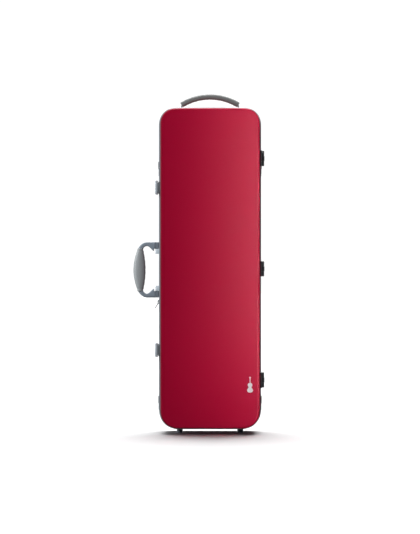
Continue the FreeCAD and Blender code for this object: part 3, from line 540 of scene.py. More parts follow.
# The gap colours of the piping cloth and the webbing are painted shade between their yarns.
PIPING = finish("silver_piping_cloth", WEAVE, {"Color": colour(150, 154, 160),
                                               "Gap Color": colour(86, 90, 98),
                                               "Yarn Scale": 3600.0}, 0.5, 0.0002, Sheen_Weight=0.3)
TAPE = finish("black_webbing", WEAVE, {"Color": colour(46, 47, 52), "Gap Color": colour(14, 14, 17),
                                       "Yarn Scale": 2600.0}, 0.8, 0.0003, Sheen_Weight=0.2)


# ---- The case: shells, rims and seal ----

RIM_LOW, RIM_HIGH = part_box("base_rim")
TOP_CORNER, BOTTOM_CORNER = 43 * MM, 50 * MM
CORNER_POWER = 2.2
OUTLINE_STEP = 22 * MM
TOP_CROWN = 1.6 * MM
DOMED_INSET = 16.0


def case_outline():
    """The rims' outside edge, counter-clockwise from the front: a rectangle whose corners are superellipses,
    |a|^p + |b|^p = 1 with p a little over 2, and whose top edge falls away from its middle by crown times
    (x / half width) squared."""
    half, low, high = RIM_HIGH.x, RIM_LOW.z, RIM_HIGH.z
    corners = []
    for side, top, first in ((1, False, -90), (1, True, 0), (-1, True, 90), (-1, False, 180)):
        radius = TOP_CORNER if top else BOTTOM_CORNER
        centre = np.array([side * (half - radius), high - radius if top else low + radius])
        angle = np.radians(first + np.linspace(0, 90, 17))
        bend = np.stack([np.cos(angle), np.sin(angle)], 1)
        corners.append(centre + radius * np.sign(bend) * np.abs(bend) ** (2 / CORNER_POWER))
    path = divided(np.concatenate(corners), OUTLINE_STEP)
    upper = ease((path[:, 1] - high + 2 * TOP_CORNER) / TOP_CORNER)
    path[:, 1] -= upper * TOP_CROWN * (path[:, 0] / half) ** 2
    return path


OUTLINE = case_outline()
OUTWARD = outward(OUTLINE)
SPINE = np.stack([np.zeros(len(OUTLINE)),
                  np.clip(OUTLINE[:, 1], RIM_LOW.z + RIM_HIGH.x, RIM_HIGH.z - RIM_HIGH.x)], 1)


def ring(inset):
    """The case's outline, drawn in by that many millimetres along its normals."""
    return OUTLINE - OUTWARD * inset * MM


def carried(profile):
    """The case's outline carried along a profile of (inset, y): each row is it drawn in by the inset."""
    return np.stack([place(OUTLINE - OUTWARD * inset, y, "XZ") for inset, y in profile])


def closed_to_spine(edge, spine, start, rise, rows):
    """Rows from an edge to its spine, t from 0 to 1, whose depth goes from start by rise * (1 - (1 -
    t)^2)."""
    share = np.linspace(0, 1, rows)[1:]
    return np.stack([place(edge + (spine - edge) * t, start + rise * (1 - (1 - t) ** 2), "XZ")
                     for t in share])


def tray(name, wall, seam, face, inset, corner, rise, material, body, node):
    """An open tray: the case's outline carried round a wall whose seam edge and outer corner are rounded,
    and both faces then drawn to the spine in a shallow dome. Lengths are in millimetres; seam and face
    are y."""
    toward = math.copysign(1, face - seam)
    inner_face = face - toward * wall
    profile = rounded([(DOMED_INSET, inner_face, 0), (inset + wall, inner_face, max(corner - wall, 1.5)),
                       (inset + wall, seam, 0.35 * wall), (inset, seam, 0.3 * wall), (inset, face, corner),
                       (DOMED_INSET, face, 0)], closed=False, step=7)
    walls = carried(profile)
    edge = ring(DOMED_INSET)
    lift = toward * rise * MM
    inner = closed_to_spine(edge, SPINE, inner_face * MM, lift, 16)[::-1]
    outer = closed_to_spine(edge, SPINE, face * MM, lift, 16)
    return piece(name, [(np.concatenate([inner, walls, outer]), False, True)], material, body, (node,))


LID_FACE, LID_RISE = -68.4, 1.6
EMBLEM_CENTRE = np.array([97.5, 121.5]) * MM


def lid_face_depth(x):
    """y of the lid's outside on its straight length: the dome's parabola across the width."""
    return (LID_FACE - LID_RISE * (1 - (x / ring(DOMED_INSET)[:, 0].max()) ** 2)) * MM


def build_shells():
    tray("lid_shell_moulding", 2.5, -16.2, LID_FACE, 4.0, 8.5, LID_RISE, SHELL, "lid", "lid_shell")
    tray("base_shell_moulding", 3.0, -11.2, 68.6, 4.0, 16.0, 1.4, SHELL, "base", "base_shell")


def build_rims():
    """Two extrusions bent round the shells: a proud leg with a fine groove, and a lip over the shell's
    edge. The base's lip has the channel that holds the gasket."""
    lid = rounded([(0, -14.6, 1.0), (0, -17.6, 0.2), (0.45, -18.0, 0.1), (0.45, -18.6, 0.1), (0, -19.0, 0.2),
                   (0, -23.0, 2.4), (3.9, -22.6, 0.5), (3.9, -16.1, 0.1), (6.9, -16.1, 0.4),
                   (6.9, -14.6, 0.5)])
    base = rounded([(0, -4.0, 2.0), (0, -8.4, 0.2), (0.45, -8.8, 0.1), (0.45, -9.4, 0.1), (0, -9.8, 0.2),
                    (0, -13.4, 0.9), (1.1, -13.4, 0.1), (1.1, -12.4, 0.1), (4.3, -12.4, 0.1),
                    (4.3, -13.4, 0.1),
                    (7.3, -13.4, 0.5), (7.3, -11.3, 0.4), (3.9, -11.3, 0.1), (3.9, -4.2, 0.5)])
    gasket = rounded([(1.2, -12.5, 0.3), (1.2, -14.2, 1.0), (4.2, -14.2, 1.0), (4.2, -12.5, 0.3)])
    for name, profile, material, body, node, slot in (
            ("lid_rim_extrusion", lid, TRIM, "lid", "lid_rim", "trim"),
            ("base_rim_extrusion", base, TRIM, "base", "base_rim", "trim"),
            ("seam_gasket_strip", gasket, SEAL, "base", "rim_gasket", "seal")):
        piece(name, [(carried(profile), True, True)], material, body, (node,))


def build_emblem():
    """A small printed outline of a violin near the lid's lower right: half its outline is a smooth curve
    through points down one side, mirrored, and its face follows the lid's dome."""
    half = np.array([(0, 19.2), (1.7, 18.4), (2.0, 16.4), (1.0, 14.6), (1.0, 6.6), (1.3, 4.6), (4.0, 3.4),
                     (5.6, 0.4),
                     (5.2, -3.0), (3.9, -5.4), (4.2, -8.0), (6.4, -10.6), (7.2, -14.0), (5.4, -17.8),
                     (0, -19.2)])
    loop = smooth_path(np.concatenate([half, half[-2:0:-1] * (-1, 1)]) * MM, 5, closed=True)
    print_film = plate("lid_emblem", loop + EMBLEM_CENTRE, -0.16 * MM, 0.3 * MM, 0.05 * MM, "XZ", PRINT,
                       "lid")
    points = np.zeros(len(print_film.data.vertices) * 3, np.float32)
    print_film.data.vertices.foreach_get("co", points)
    points = points.reshape(-1, 3)
    points[:, 1] += lid_face_depth(points[:, 0])
    print_film.data.vertices.foreach_set("co", points.ravel())


def smooth_path(points, count, closed=False):
    """A Catmull-Rom curve: between two points, the cubic whose slope at each is half the step between its
    neighbours, at count steps."""
    points = np.asarray(points, float)
    if closed:
        p0, p1, p2, p3 = (np.roll(points, shift, 0) for shift in (1, 0, -1, -2))
    else:
        ends = np.concatenate([2 * points[:1] - points[1:2], points, 2 * points[-1:] - points[-2:-1]])
        p0, p1, p2, p3 = ends[:-3], ends[1:-2], ends[2:-1], ends[3:]
    t = (np.arange(count) / count)[None, :, None]
    p0, p1, p2, p3 = (p[:, None] for p in (p0, p1, p2, p3))
    made = 0.5 * (2 * p1 + (p2 - p0) * t + (2 * p0 - 5 * p1 + 4 * p2 - p3) * t ** 2
                  + (3 * p1 - p0 - 3 * p2 + p3) * t ** 3)
    made = made.reshape(-1, points.shape[1])
    return made if closed else np.concatenate([made, points[-1:]])


# ---- Hinges, latches and screws ----

HINGES = ("upper", "middle", "lower")
LATCHES = ("upper", "lower")
SCREW_REACH = 11 * MM


def keep(nodes, material):
    """Frame nodes whose shape is final take a material."""
    for node in nodes:
        thing = frame["nodes"][node]
        thing.data.materials.clear()
        thing.data.materials.append(material)
        thing.data.polygons.foreach_set("use_smooth", np.ones(len(thing.data.polygons), bool))


def screw_head(centre, radius, height):
    """A domed head facing +X: height times sqrt(1 - 0.8 r^2) over its radius, less a cross-shaped recess
    where the smaller of |a| and |b| is under the arm's half width and the larger is under its length."""
    sides = 32
    share = np.array([0.0, 0.1, 0.2, 0.3, 0.4, 0.5, 0.6, 0.72, 0.84, 0.93, 1.0])[:, None]
    angle = np.linspace(0, 2 * math.pi, sides, endpoint=False)[None]
    across, over = share * np.cos(angle), share * np.sin(angle)
    small, large = np.minimum(abs(across), abs(over)), np.maximum(abs(across), abs(over))
    recess = ease((0.22 - small) / 0.12) * ease((0.62 - large) / 0.2)
    lift = height * (np.sqrt(1 - 0.8 * share ** 2) - 0.75 * recess)
    head = np.stack([lift, across * radius, over * radius], -1)
    foot = np.stack([np.zeros(sides), radius * np.cos(angle[0]), radius * np.sin(angle[0])], -1)[None]
    under = np.zeros((1, sides, 3))
    return np.concatenate([head, foot, under]) + centre, False, True


def build_hinges():
    for name in HINGES:
        softened(f"hinge_{name}_lid_leaf", HINGE, 0.55 * MM)
        softened(f"hinge_{name}_base_leaf", HINGE, 0.55 * MM)
        keep([f"hinge_{name}_pin"], STEEL)
    for node, body in (("hinge_screws_lid", "lid"), ("hinge_screws_base", "base")):
        low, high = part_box(node)
        radius = (high.y - low.y) / 2
        heads = []
        for name in HINGES:
            pin_low, pin_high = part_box(f"hinge_{name}_pin")
            for side in (-1, 1):
                centre = (low.x, (low.y + high.y) / 2, (pin_low.z + pin_high.z) / 2 + side * SCREW_REACH)
                heads.append(screw_head(np.array(centre), radius, high.x - low.x))
        piece(node + "_heads", heads, STEEL, body, (node,))


def build_latches():
    for name in LATCHES:
        softened(f"latch_{name}_plate", HINGE, 0.5 * MM)
        softened(f"latch_{name}_keeper", HINGE, 0.4 * MM)
        softened(f"latch_{name}_lever", LATCH, 1.1 * MM, segments=4)
        keep([f"latch_{name}_pin"], STEEL)


# ---- Handles ----

def between(outer, inner, half_depth, middle, power, sides=40):
    """A bar between an outer and an inner edge line in the XZ plane: at each pair of points its section
    is a superellipse, |a|^p + |b|^p = 1, half the gap wide and twice half_depth deep. Both ends close at
    a pole."""
    angle = np.linspace(0, 2 * math.pi, sides, endpoint=False)
    across = np.sign(np.cos(angle)) * np.abs(np.cos(angle)) ** (2 / power)
    deep = np.sign(np.sin(angle)) * np.abs(np.sin(angle)) ** (2 / power)
    centre, reach = (outer + inner) / 2, (outer - inner) / 2
    flat = centre[:, None] + reach[:, None] * across[None, :, None]
    rows = place(flat, middle + half_depth[:, None] * deep[None], "XZ")
    poles = [np.repeat(rows[end].mean(0)[None, None], sides, 1) for end in (0, -1)]
    return np.concatenate([poles[0], rows, poles[1]]), False, True


def handle_lines(pairs, middle):
    """The bow's edge lines from pairs (outer x, z, inner x, z, half depth) down its upper half, smoothed,
    then mirrored about its middle."""
    upper = smooth_path(np.array(pairs) * MM, 6)
    lower = upper[-2::-1].copy()
    lower[:, [1, 3]] *= -1
    lines = np.concatenate([upper, lower])
    lift = np.array([0, middle])
    return lines[:, :2] + lift, lines[:, 2:4] + lift, lines[:, 4]


def stitches(path, outside, spread, radius, pitch):
    """Thread across a seam: at every pitch along it, a short bar bent over the seam, from spread on one
    side to spread on the other, and raised at its middle."""
    step = np.linalg.norm(np.diff(path, axis=0), axis=1)
    length = np.concatenate([[0], np.cumsum(step)])
    count = int(length[-1] / pitch)
    places = (np.arange(count) + 0.5) * length[-1] / count
    across = np.array([0.0, 1.0, 0.0])
    bars = []
    for where in places:
        point = np.array([np.interp(where, length, path[:, axis]) for axis in range(3)])
        out = np.array([np.interp(where, length, outside[:, axis]) for axis in range(3)])
        turn = np.linspace(-1, 1, 7)[:, None]
        bars.append(tube(point + across * spread * turn + out * (1.1 * MM) * (1 - turn ** 2), radius,
                         up=(0.3, 0.1, 0.9), sides=8))
    return bars


def build_side_handle():
    """The moulded bow, its padded leather grip with a laced seam on the finger side, and the pivot
    brackets."""
    low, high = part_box("side_handle_bow")
    middle, depth = (low.z + high.z) / 2, (low.y + high.y) / 2
    half, thick = (high.z - low.z) / 2 / MM, (high.y - low.y) / 2 / MM
    arm = half - 16.5
    pairs = [(-125.85, half - 0.8, -125.85, arm + 0.8, 0.6), (-126.6, half - 0.1, -126.6, arm + 0.1, 2.4),
             (-128.0, half, -128.0, arm, 3.7), (-130.0, half, -130.0, arm, 4.2),
             (-133.5, half, -133.5, arm, 4.6),
             (-136.0, half, -136.0, arm, 6.2), (-137.9, half, -137.9, arm - 0.1, thick),
             (-138.3, half, -138.2, arm - 4.4, thick), (-141.0, half, -140.0, arm - 5.1, thick),
             (-146.0, half, -146.0, arm + 0.6, thick), (-151.0, half, -151.4, arm + 5.2, thick),
             (-157.5, half - 0.2, -156.4, arm + 6.4, thick), (-165.0, half - 2.6, -161.4, arm + 4.6, thick),
             (-172.0, half - 8.2, -165.2, arm - 0.6, thick),
             (-177.2, half - 15.4, -167.4, arm - 8.0, thick - 0.4),
             (-180.2, half - 24.0, -169.2, arm - 16.0, thick - 0.8),
             (-183.6, 34.0, -171.6, 28.0, thick - 0.8),
             (-185.6, 12.0, -173.4, 10.0, thick - 0.8), (-185.9, 0.0, -173.8, 0.0, thick - 0.8)]
    outer, inner, half_depth = handle_lines(pairs, middle)
    piece("side_handle_bow_moulding", [between(outer, inner, half_depth, depth, 4.2)], BOW, "side_handle",
          ("side_handle_bow",))

    grip_low, grip_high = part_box("side_handle_grip")
    reach = (grip_high.z - grip_low.z) / 2 / MM
    grip_thick = (grip_high.y - grip_low.y) / 2 / MM
    grip_pairs = [(-175.6, reach, -168.6, reach, 4.6), (-177.8, reach - 0.5, -166.4, reach - 0.5, 7.2),
                  (-179.2, reach - 2.2, -165.0, reach - 2.2, 8.4),
                  (-179.6, reach - 4.6, -164.8, reach - 4.6, 8.5),
                  (-179.6, reach - 6.2, -165.0, reach - 6.2, 8.3),
                  (-180.6, reach - 8.4, -164.5, reach - 8.4, 8.9),
                  (-183.4, reach - 17.0, -163.0, reach - 17.0, 9.8),
                  (-186.4, reach - 29.0, -161.2, reach - 29.0, 10.5),
                  (-188.4, reach - 41.0, -160.1, reach - 41.0, grip_thick - 0.2),
                  (grip_low.x / MM, 0.0, grip_high.x / MM, 0.0, grip_thick)]
    outer, inner, half_depth = handle_lines(grip_pairs, middle)
    grip = piece("side_handle_grip_leather", [between(outer, inner, half_depth, depth, 2.35, 56)], GRIP,
                 "side_handle", ("side_handle_grip",))

    seam = inner[(abs(inner[:, 1] - middle) < (reach - 7) * MM)]
    seam = divided(seam, 1.2 * MM, closed=False)
    line = place(seam, depth, "XZ")
    lobe = np.abs(np.sin((seam[:, 1] - middle) * math.pi / (13.4 * MM)))
    line[:, 0] -= 0.5 * MM
    piece("side_handle_grip_seam", [tube(line, (0.9 + 0.55 * lobe) * MM, sides=12)], GRIP, "side_handle")
    outside = np.zeros_like(line)
    outside[:, 0] = 1.0
    line[:, 0] -= 0.1 * MM
    piece("side_handle_grip_thread", stitches(line, outside, 3.0 * MM, 0.33 * MM, 6.7 * MM), THREAD,
          "side_handle")
    for name in LATCHES:
        softened(f"side_handle_bracket_{name}", LATCH, 0.9 * MM)
    keep(["side_handle_pins"], STEEL)


def build_top_handle():
    """The tubular leather sleeve, open at both mouths, on a bent steel wire that swings in two anchors."""
    low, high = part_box("top_handle_sleeve")
    radius, bore = (high.y - low.y) / 2, 4.6 * MM
    depth = (low.y + high.y) / 2
    bend, half_length = 133.5 * MM, 70.2 * MM
    centre = np.array([0, high.z - radius - bend])
    half_angle = math.asin(half_length / bend)

    def along(angle):
        return centre + bend * np.stack([np.sin(angle), np.cos(angle)], -1)

    lip = np.linspace(0, math.pi, 9)[1:-1]
    lip_radius = (radius - bore) / 2
    stations = np.linspace(-half_angle, half_angle, 61)
    trim = lip_radius / bend
    angles = np.concatenate([stations * (1 - trim / half_angle), half_angle - trim + np.sin(lip) * trim,
                             stations[::-2] * (1 - trim / half_angle),
                             -half_angle + trim - np.sin(lip) * trim])
    radii = np.concatenate([np.full(61, radius), (radius + bore) / 2 + np.cos(lip) * lip_radius,
                            np.full(31, bore), (radius + bore) / 2 - np.cos(lip) * lip_radius])
    crease = 0.10 * MM * np.sin(angles * 61) * np.sin(angles * 17 + 0.7) * (radii > bore * 1.2)
    around = np.linspace(0, 2 * math.pi, 40, endpoint=False)
    line, away = along(angles), np.stack([np.sin(angles), np.cos(angles)], -1)
    reach = (radii - 0.1 * MM * (radii > bore * 1.2) + crease)[:, None] * np.cos(around)
    flat = line[:, None] + away[:, None] * reach[..., None]
    rows = place(flat, depth + (radii - 0.05 * MM)[:, None] * np.sin(around), "XZ")
    sleeve = piece("top_handle_sleeve_leather", [(rows, True, True)], SLEEVE, "top_handle",
                   ("top_handle_sleeve",))

    angle = np.linspace(-half_angle * 0.93, half_angle * 0.93, 121)
    away = np.stack([np.sin(angle), np.cos(angle)], -1)
    lobe = np.abs(np.sin(angle / half_angle * math.pi * 5))
    line = place(along(angle) - away * (radius - 0.55 * MM), depth, "XZ")
    piece("top_handle_sleeve_seam", [tube(line, (0.6 + 0.4 * lobe) * MM, sides=10)], SLEEVE, "top_handle")
    piece("top_handle_sleeve_thread", stitches(line + place(away * 0.1 * MM, 0.0, "XZ"),
                                               -place(away, 0.0, "XZ"),
                                               2.2 * MM, 0.3 * MM, 6.6 * MM), THREAD, "top_handle")

    leg, wire = 69.8 * MM, 1.5 * MM
    pin_radius, pin_reach = 1.05 * MM, 3.2 * MM
    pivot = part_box("top_handle_wire")[0].z + wire
    corner = math.asin(leg / bend)
    arc = along(np.linspace(-corner, corner, 81))
    foot = np.array([[-leg, pivot], [-leg, pivot + 3 * MM]])
    shoulder = smooth_path(np.array([foot[1], (-leg, arc[0, 1] - 3 * MM),
                                     (-leg + 0.8 * MM, arc[0, 1] + 0.1 * MM),
                                     arc[2], arc[3]]), 5)
    path = np.concatenate([foot[:1], shoulder, arc[4:-4], (shoulder * (-1, 1))[::-1], foot[:1] * (-1, 1)])
    bars = [tube(place(path, depth, "XZ"), wire, sides=16)]
    for side in (-1, 1):
        ends = np.array([[side * leg + shift * pin_reach, depth, pivot] for shift in (-1, 0, 1)])
        bars.append(tube(ends, pin_radius, sides=14))
    piece("top_handle_wire_bail", bars, STEEL, "top_handle", ("top_handle_wire",))
    for side in ("left", "right"):
        softened(f"top_handle_anchor_{side}", HINGE, 0.35 * MM)


# ---- Feet, strap rings and key ring ----

def build_feet():
    """Four turned rubber feet: a collar under the shell, a tapering cone, and a dished tread."""
    low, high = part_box("feet")
    radius = 8.4
    profile = rounded([(0, 14.8, 0), (8.1, 14.8, 0.2), (radius, 12.4, 0.9), (7.9, 10.9, 0.8),
                       (6.6, 2.0, 3.0),
                       (5.9, 0, 1.6), (1.8, 0, 0.4), (1.4, 0.8, 0.4), (0, 0.8, 0)], closed=False)
    centres = [(x, y, low.z) for x in (low.x + radius * MM, high.x - radius * MM)
               for y in (low.y + radius * MM, high.y - radius * MM)]
    piece("tail_feet", [turned(profile, centre, 40) for centre in centres], RUBBER, "base", ("feet",))


def build_key_ring():
    """A split ring: two turns of wire side by side, which cross over in a short ramp at each end, lying
    in the plane that the frame's ring lies in."""
    source = frame["nodes"]["key_ring"].data
    points = np.zeros(len(source.vertices) * 3, np.float32)
    source.vertices.foreach_get("co", points)
    points = points.reshape(-1, 3).astype(float)
    centre = (points.min(0) + points.max(0)) / 2
    across, over, square = np.linalg.svd(points - centre, full_matrices=False)[2]
    angle = np.linspace(0.3, 4 * math.pi - 0.3, 161)
    ramp_up = ease((angle - 2 * math.pi + 0.35) / 0.7) * 2 - 1
    wire, radius = 0.44 * MM, 8.0 * MM
    offset = wire * ramp_up
    line = (centre + radius * (np.cos(angle)[:, None] * across + np.sin(angle)[:, None] * over)
            + offset[:, None] * square)
    piece("key_ring_coil", [tube(line, wire, up=square, sides=10)], STEEL, "key_ring", ("key_ring",))
    softened("key_ring_lug", HINGE, 0.25 * MM)


def build_strap_points():
    for height in ("upper", "lower"):
        for side in ("left", "right"):
            softened(f"strap_anchor_{height}_{side}", HINGE, 0.4 * MM)
            keep([f"strap_ring_{height}_{side}"], STEEL)


# ---- The padded inside of the base ----

BLOCK_SIDE, BLOCK_BACK = 48 * MM, 63 * MM
BLOCK_BACK_DRAW = 8 * MM
EDGE_DROP = ((0.0, 3.0), (0.7, 1.5), (1.8, 0.5), (3.6, 0.0))
EDGE_REACH = EDGE_DROP[-1][0]
WALL_FALL = ((0.15, 0.3), (0.4, 0.8), (0.7, 1.2), (0.88, 1.8), (0.95, 3.0), (0.985, 5.0), (1.0, 8.0))
PILLOW_RISE = 0.5 * MM
BED_FLOOR, BOX_FLOOR = 12 * MM, 6.5 * MM
SHELL_INSIDE = 7.4
PIPING_RADIUS = 1.25 * MM


def spoke(points, centres, loop):
    """Where the line from each centre through its point leaves the closed loop."""
    ray = points - centres
    edge = np.roll(loop, -1, 0) - loop
    cross = ray[:, None, 0] * edge[None, :, 1] - ray[:, None, 1] * edge[None, :, 0]
    gap = loop[None] - centres[:, None]
    safe = np.where(abs(cross) < 1e-15, 1e-15, cross)
    reach = (gap[..., 0] * edge[None, :, 1] - gap[..., 1] * edge[None, :, 0]) / safe
    share = (gap[..., 0] * ray[:, None, 1] - gap[..., 1] * ray[:, None, 0]) / safe
    valid = (abs(cross) > 1e-15) & (share > -1e-6) & (share < 1 + 1e-6) & (reach > 0)
    reach = np.where(valid, reach, np.inf).min(1)
    return centres + ray * reach[:, None]


def well_rows(contour, outer, spine, top, floor):
    """The rows of a padded block with a well in it, from the middle of its back round to the middle of
    the well's floor: the back, the sides, the top with its rounded edges, the well's wall and its floor.
    contour is the well's edge, outer the block's edge facing each of its points, and spine the line down
    its middle."""
    inward = spine - contour
    inward = inward / np.maximum(np.linalg.norm(inward, axis=1, keepdims=True), 1e-9)
    toward = contour - outer
    span = np.linalg.norm(toward, axis=1, keepdims=True)
    toward = toward / np.maximum(span, 1e-9)
    limit = np.minimum(1.0, 0.45 * span / (EDGE_REACH * MM))
    back = outer + (spine - outer) * (BLOCK_BACK_DRAW / np.maximum(
        np.linalg.norm(spine - outer, axis=1, keepdims=True), BLOCK_BACK_DRAW))
    rows = [place(back + (spine - back) * t, BLOCK_BACK, "XZ") for t in (1.0, 0.6, 0.25)]
    rows += [place(back, BLOCK_BACK, "XZ"), place(outer, BLOCK_SIDE, "XZ"),
             place(outer, BLOCK_SIDE / 2, "XZ")]
    rows += [place(outer + toward * limit * reach * MM, top + drop * MM, "XZ") for reach, drop in EDGE_DROP]
    start, end = outer + toward * limit * EDGE_REACH * MM, contour - toward * limit * EDGE_REACH * MM
    rows += [place(start + (end - start) * t, top - PILLOW_RISE * math.sin(math.pi * t), "XZ")
             for t in (0.25, 0.5, 0.75)]
    rows += [place(contour - toward * limit * reach * MM, top + drop * MM, "XZ") for reach,
             drop in EDGE_DROP[::-1]]
    edge_foot = top + EDGE_DROP[0][1] * MM
    rows += [place(contour + inward * reach * MM, edge_foot + (floor - edge_foot) * share, "XZ")
             for share, reach in WALL_FALL]
    last = contour + inward * WALL_FALL[-1][1] * MM
    rows += [place(last + (spine - last) * t, floor, "XZ") for t in (0.3, 0.65, 1.0)]
    return np.stack(rows)


def block_plan(left, right, low, high):
    """The edge of a block that fills the shell between those bounds: the shell's inside outline where
    that is nearer, else the straight sides."""
    loop = ring(SHELL_INSIDE)
    return np.stack([np.clip(loop[:, 0], left, right), np.clip(loop[:, 1], low, high)], 1)


def violin_contour():
    """The edge of the violin's well, open at the neck: a smooth curve through points down the left side,
    round the lower bout, and up the mirrored right side. Each is (half width, height) in millimetres."""
    half = np.array([(30, 443), (30, 425), (30.6, 406), (37, 394), (55, 382), (76, 356), (87.5, 322),
                     (87, 290),
                     (76, 265), (64, 247), (61, 233), (64, 217), (76, 199), (95, 181), (106, 158),
                     (107.3, 133),
                     (101, 104), (84, 74), (58, 50), (30, 38.3), (0, 35)]) * MM
    right = half[-2::-1]
    return smooth_path(np.concatenate([half * (-1, 1), right]), 7)


def build_violin_bed():
    """The bed: a padded block whose well is shaped to the violin and runs out at the neck, with a piped
    edge."""
    low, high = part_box("violin_bed")
    contour = violin_contour()
    contour[:, 1] = np.minimum(contour[:, 1], high.z)
    spine = np.stack([np.zeros(len(contour)), np.clip(contour[:, 1], 143 * MM, None)], 1)
    plan = block_plan(low.x, high.x, low.z, high.z + 40 * MM)
    outer = spoke(contour, spine, plan)
    top = low.y + 0.3 * MM
    rows = well_rows(contour, outer, spine, top, high.y - BED_FLOOR)
    grids = [(rows, False, False)]
    bed = piece("violin_bed_padding", grids + end_faces(rows), PLUSH, "base", ("violin_bed",))
    edge = place(contour, top + 0.6 * MM, "XZ")
    piece("violin_bed_piping", [tube(edge, PIPING_RADIUS, sides=10)], PIPING, "base")


def end_faces(rows):
    """Strips that close a block's two open ends: each joins the end column's outside half, in order, to its
    inside half, taken backwards."""
    made = []
    for end in (0, -1):
        column = rows[:, end]
        half = len(column) // 2
        first, second = column[:half], column[::-1][:half]
        made.append((np.stack([first, second]), False, False))
    return made


def build_compartments():
    """The accessory box and the shoulder rest's well, one each side of the neck, and the neck's own
    channel."""
    for node in ("accessory_box", "shoulder_rest_well"):
        low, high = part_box(node)
        side = -1 if low.x < 0 else 1
        near, far = sorted((abs(low.x), abs(high.x)))
        wall = 5.5
        inner, outer_side = side * (near / MM + wall), side * (far / MM - wall)
        bottom, head = low.z / MM + wall, high.z / MM - wall
        corners = [(inner, bottom, 8), (outer_side, bottom, 8), (outer_side, head, 34), (inner, head, 8)]
        contour = divided(rounded(corners, step=8), 14 * MM)
        middle = side * (near + far) / 2
        quarter = (far - near) / 2
        spine = np.stack([np.full(len(contour), middle),
                          np.clip(contour[:, 1], low.z + quarter, high.z - quarter)], 1)
        plan = block_plan(low.x, high.x, low.z, high.z)
        outer = spoke(contour, spine, plan)
        rows = well_rows(contour, outer, spine, low.y + 0.3 * MM, high.y - BOX_FLOOR)
        block = piece(node + "_padding", [(rows, False, True)], PLUSH, "base", (node,))
        edge = place(contour, low.y + 0.9 * MM, "XZ")
        piece(node + "_piping", [tube(edge, PIPING_RADIUS, sides=10, closed=True)], PIPING, "base")

    low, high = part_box("neck_channel")
    shelf = 50.8 * MM
    head = 650 * MM
    half = high.x - 0.2 * MM
    floor_rows = slab(plain(-half, half, low.z, head, 3), shelf, BLOCK_BACK, 2.0 * MM, "XZ")
    head_rows = slab(plain(-half, half, head, high.z - 0.6 * MM, 6), low.y, BLOCK_BACK, 4.0 * MM, "XZ")
    channel = piece("neck_channel_padding", capped(floor_rows) + capped(head_rows), PLUSH, "base",
                    ("neck_channel",))


def plain(left, right, low, high, radius):
    """A rectangle with rounded corners, its bounds in metres and the radius in millimetres."""
    return divided(rounded([(left / MM, low / MM, radius), (right / MM, low / MM, radius),
                            (right / MM, high / MM, radius), (left / MM, high / MM, radius)]), 12 * MM)


def capped(rows):
    """The rows of a slab that lies across y, closed at both ends by rows drawn to its middle line."""
    first, last = rows[0], rows[-1]
    low, high = first.min(0), first.max(0)
    size = high - low
    size[1] = 0
    reach = np.sort(size)[1] / 2
    spine = np.broadcast_to((low + high) / 2, first.shape).copy()
    long_axis = int(np.argmax(size))
    spine[:, long_axis] = np.clip(first[:, long_axis], low[long_axis] + reach, high[long_axis] - reach)
    far = spine.copy()
    far[:, 1] = last[:, 1]
    steps = np.linspace(0, 1, 10)[1:]
    start = np.stack([first + (spine - first) * t for t in steps[::-1]])
    end = np.stack([last + (far - last) * t for t in steps])
    return [(np.concatenate([start, rows, end]), False, True)]


def build_flap():
    """The accessory box's padded lid: a flat board below, a crowned top with a sewn channel round it, a
    piped edge, and a tape tab to lift it by."""
    low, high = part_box("accessory_flap")
    left, right, bottom, head = low.x / MM + 0.4, high.x / MM - 0.4, low.z / MM + 0.4, high.z / MM - 0.4
    outline = divided(rounded([(left, bottom, 4), (right, bottom, 8), (right, head, 8), (left, head, 26)]),
                      12 * MM)
    normal = outward(outline)
    reach = (high.x - low.x) / 2 - 0.5 * MM
    spine = np.stack([np.full(len(outline), (low.x + high.x) / 2),
                      np.clip(outline[:, 1], low.z + reach, high.z - reach)], 1)
    base, top = high.y / MM, low.y / MM
    profile = np.array([(6.0, base), (0.6, base), (0.0, base - 0.8), (0.0, base - 1.6), (0.7, base - 2.5),
                        (2.4, base - 3.0), (4.6, base - 2.9), (6.0, base - 2.1), (6.8, base - 1.9),
                        (7.6, base - 2.2),
                        (9.5, base - 3.2), (13.0, base - 3.9), (18.0, top + 0.35)]) * MM
    rows = np.stack([place(outline - normal * inset, y, "XZ") for inset, y in profile])
    under = closed_to_spine(outline - normal * 6 * MM, spine, profile[0, 1], 0.0, 5)[::-1]
    over = closed_to_spine(outline - normal * 18 * MM, spine, profile[-1, 1], -0.3 * MM, 6)
    flap = piece("accessory_flap_pad", [(np.concatenate([under, rows, over]), False, True)], PLUSH,
                 "accessory_flap", ("accessory_flap",))
    edge = place(outline - normal * 0.9 * MM, high.y - 1.1 * MM, "XZ")
    piece("accessory_flap_piping", [tube(edge, 0.95 * MM, sides=10, closed=True)], PIPING, "accessory_flap")
    channel = divided(outline - normal * 6.8 * MM, 1.2 * MM)
    step = channel[::4], channel[2::4]
    count = min(len(step[0]), len(step[1]))
    dashes = [tube(place(np.stack([a, (a + b) / 2, b]), high.y - 2.15 * MM, "XZ"), 0.28 * MM, sides=6)
              for a, b in zip(step[0][:count], step[1][:count])]
    piece("accessory_flap_stitching", dashes, THREAD, "accessory_flap")
    middle = (low.z + high.z) / 2
    tab = plain(high.x - 9 * MM, high.x + 11 * MM, middle - 7 * MM, middle + 7 * MM, 3)
    piece("accessory_flap_tab", capped(slab(tab, low.y + 0.9 * MM, low.y + 2.3 * MM, 0.5 * MM, "XZ")), TAPE,
          "accessory_flap")


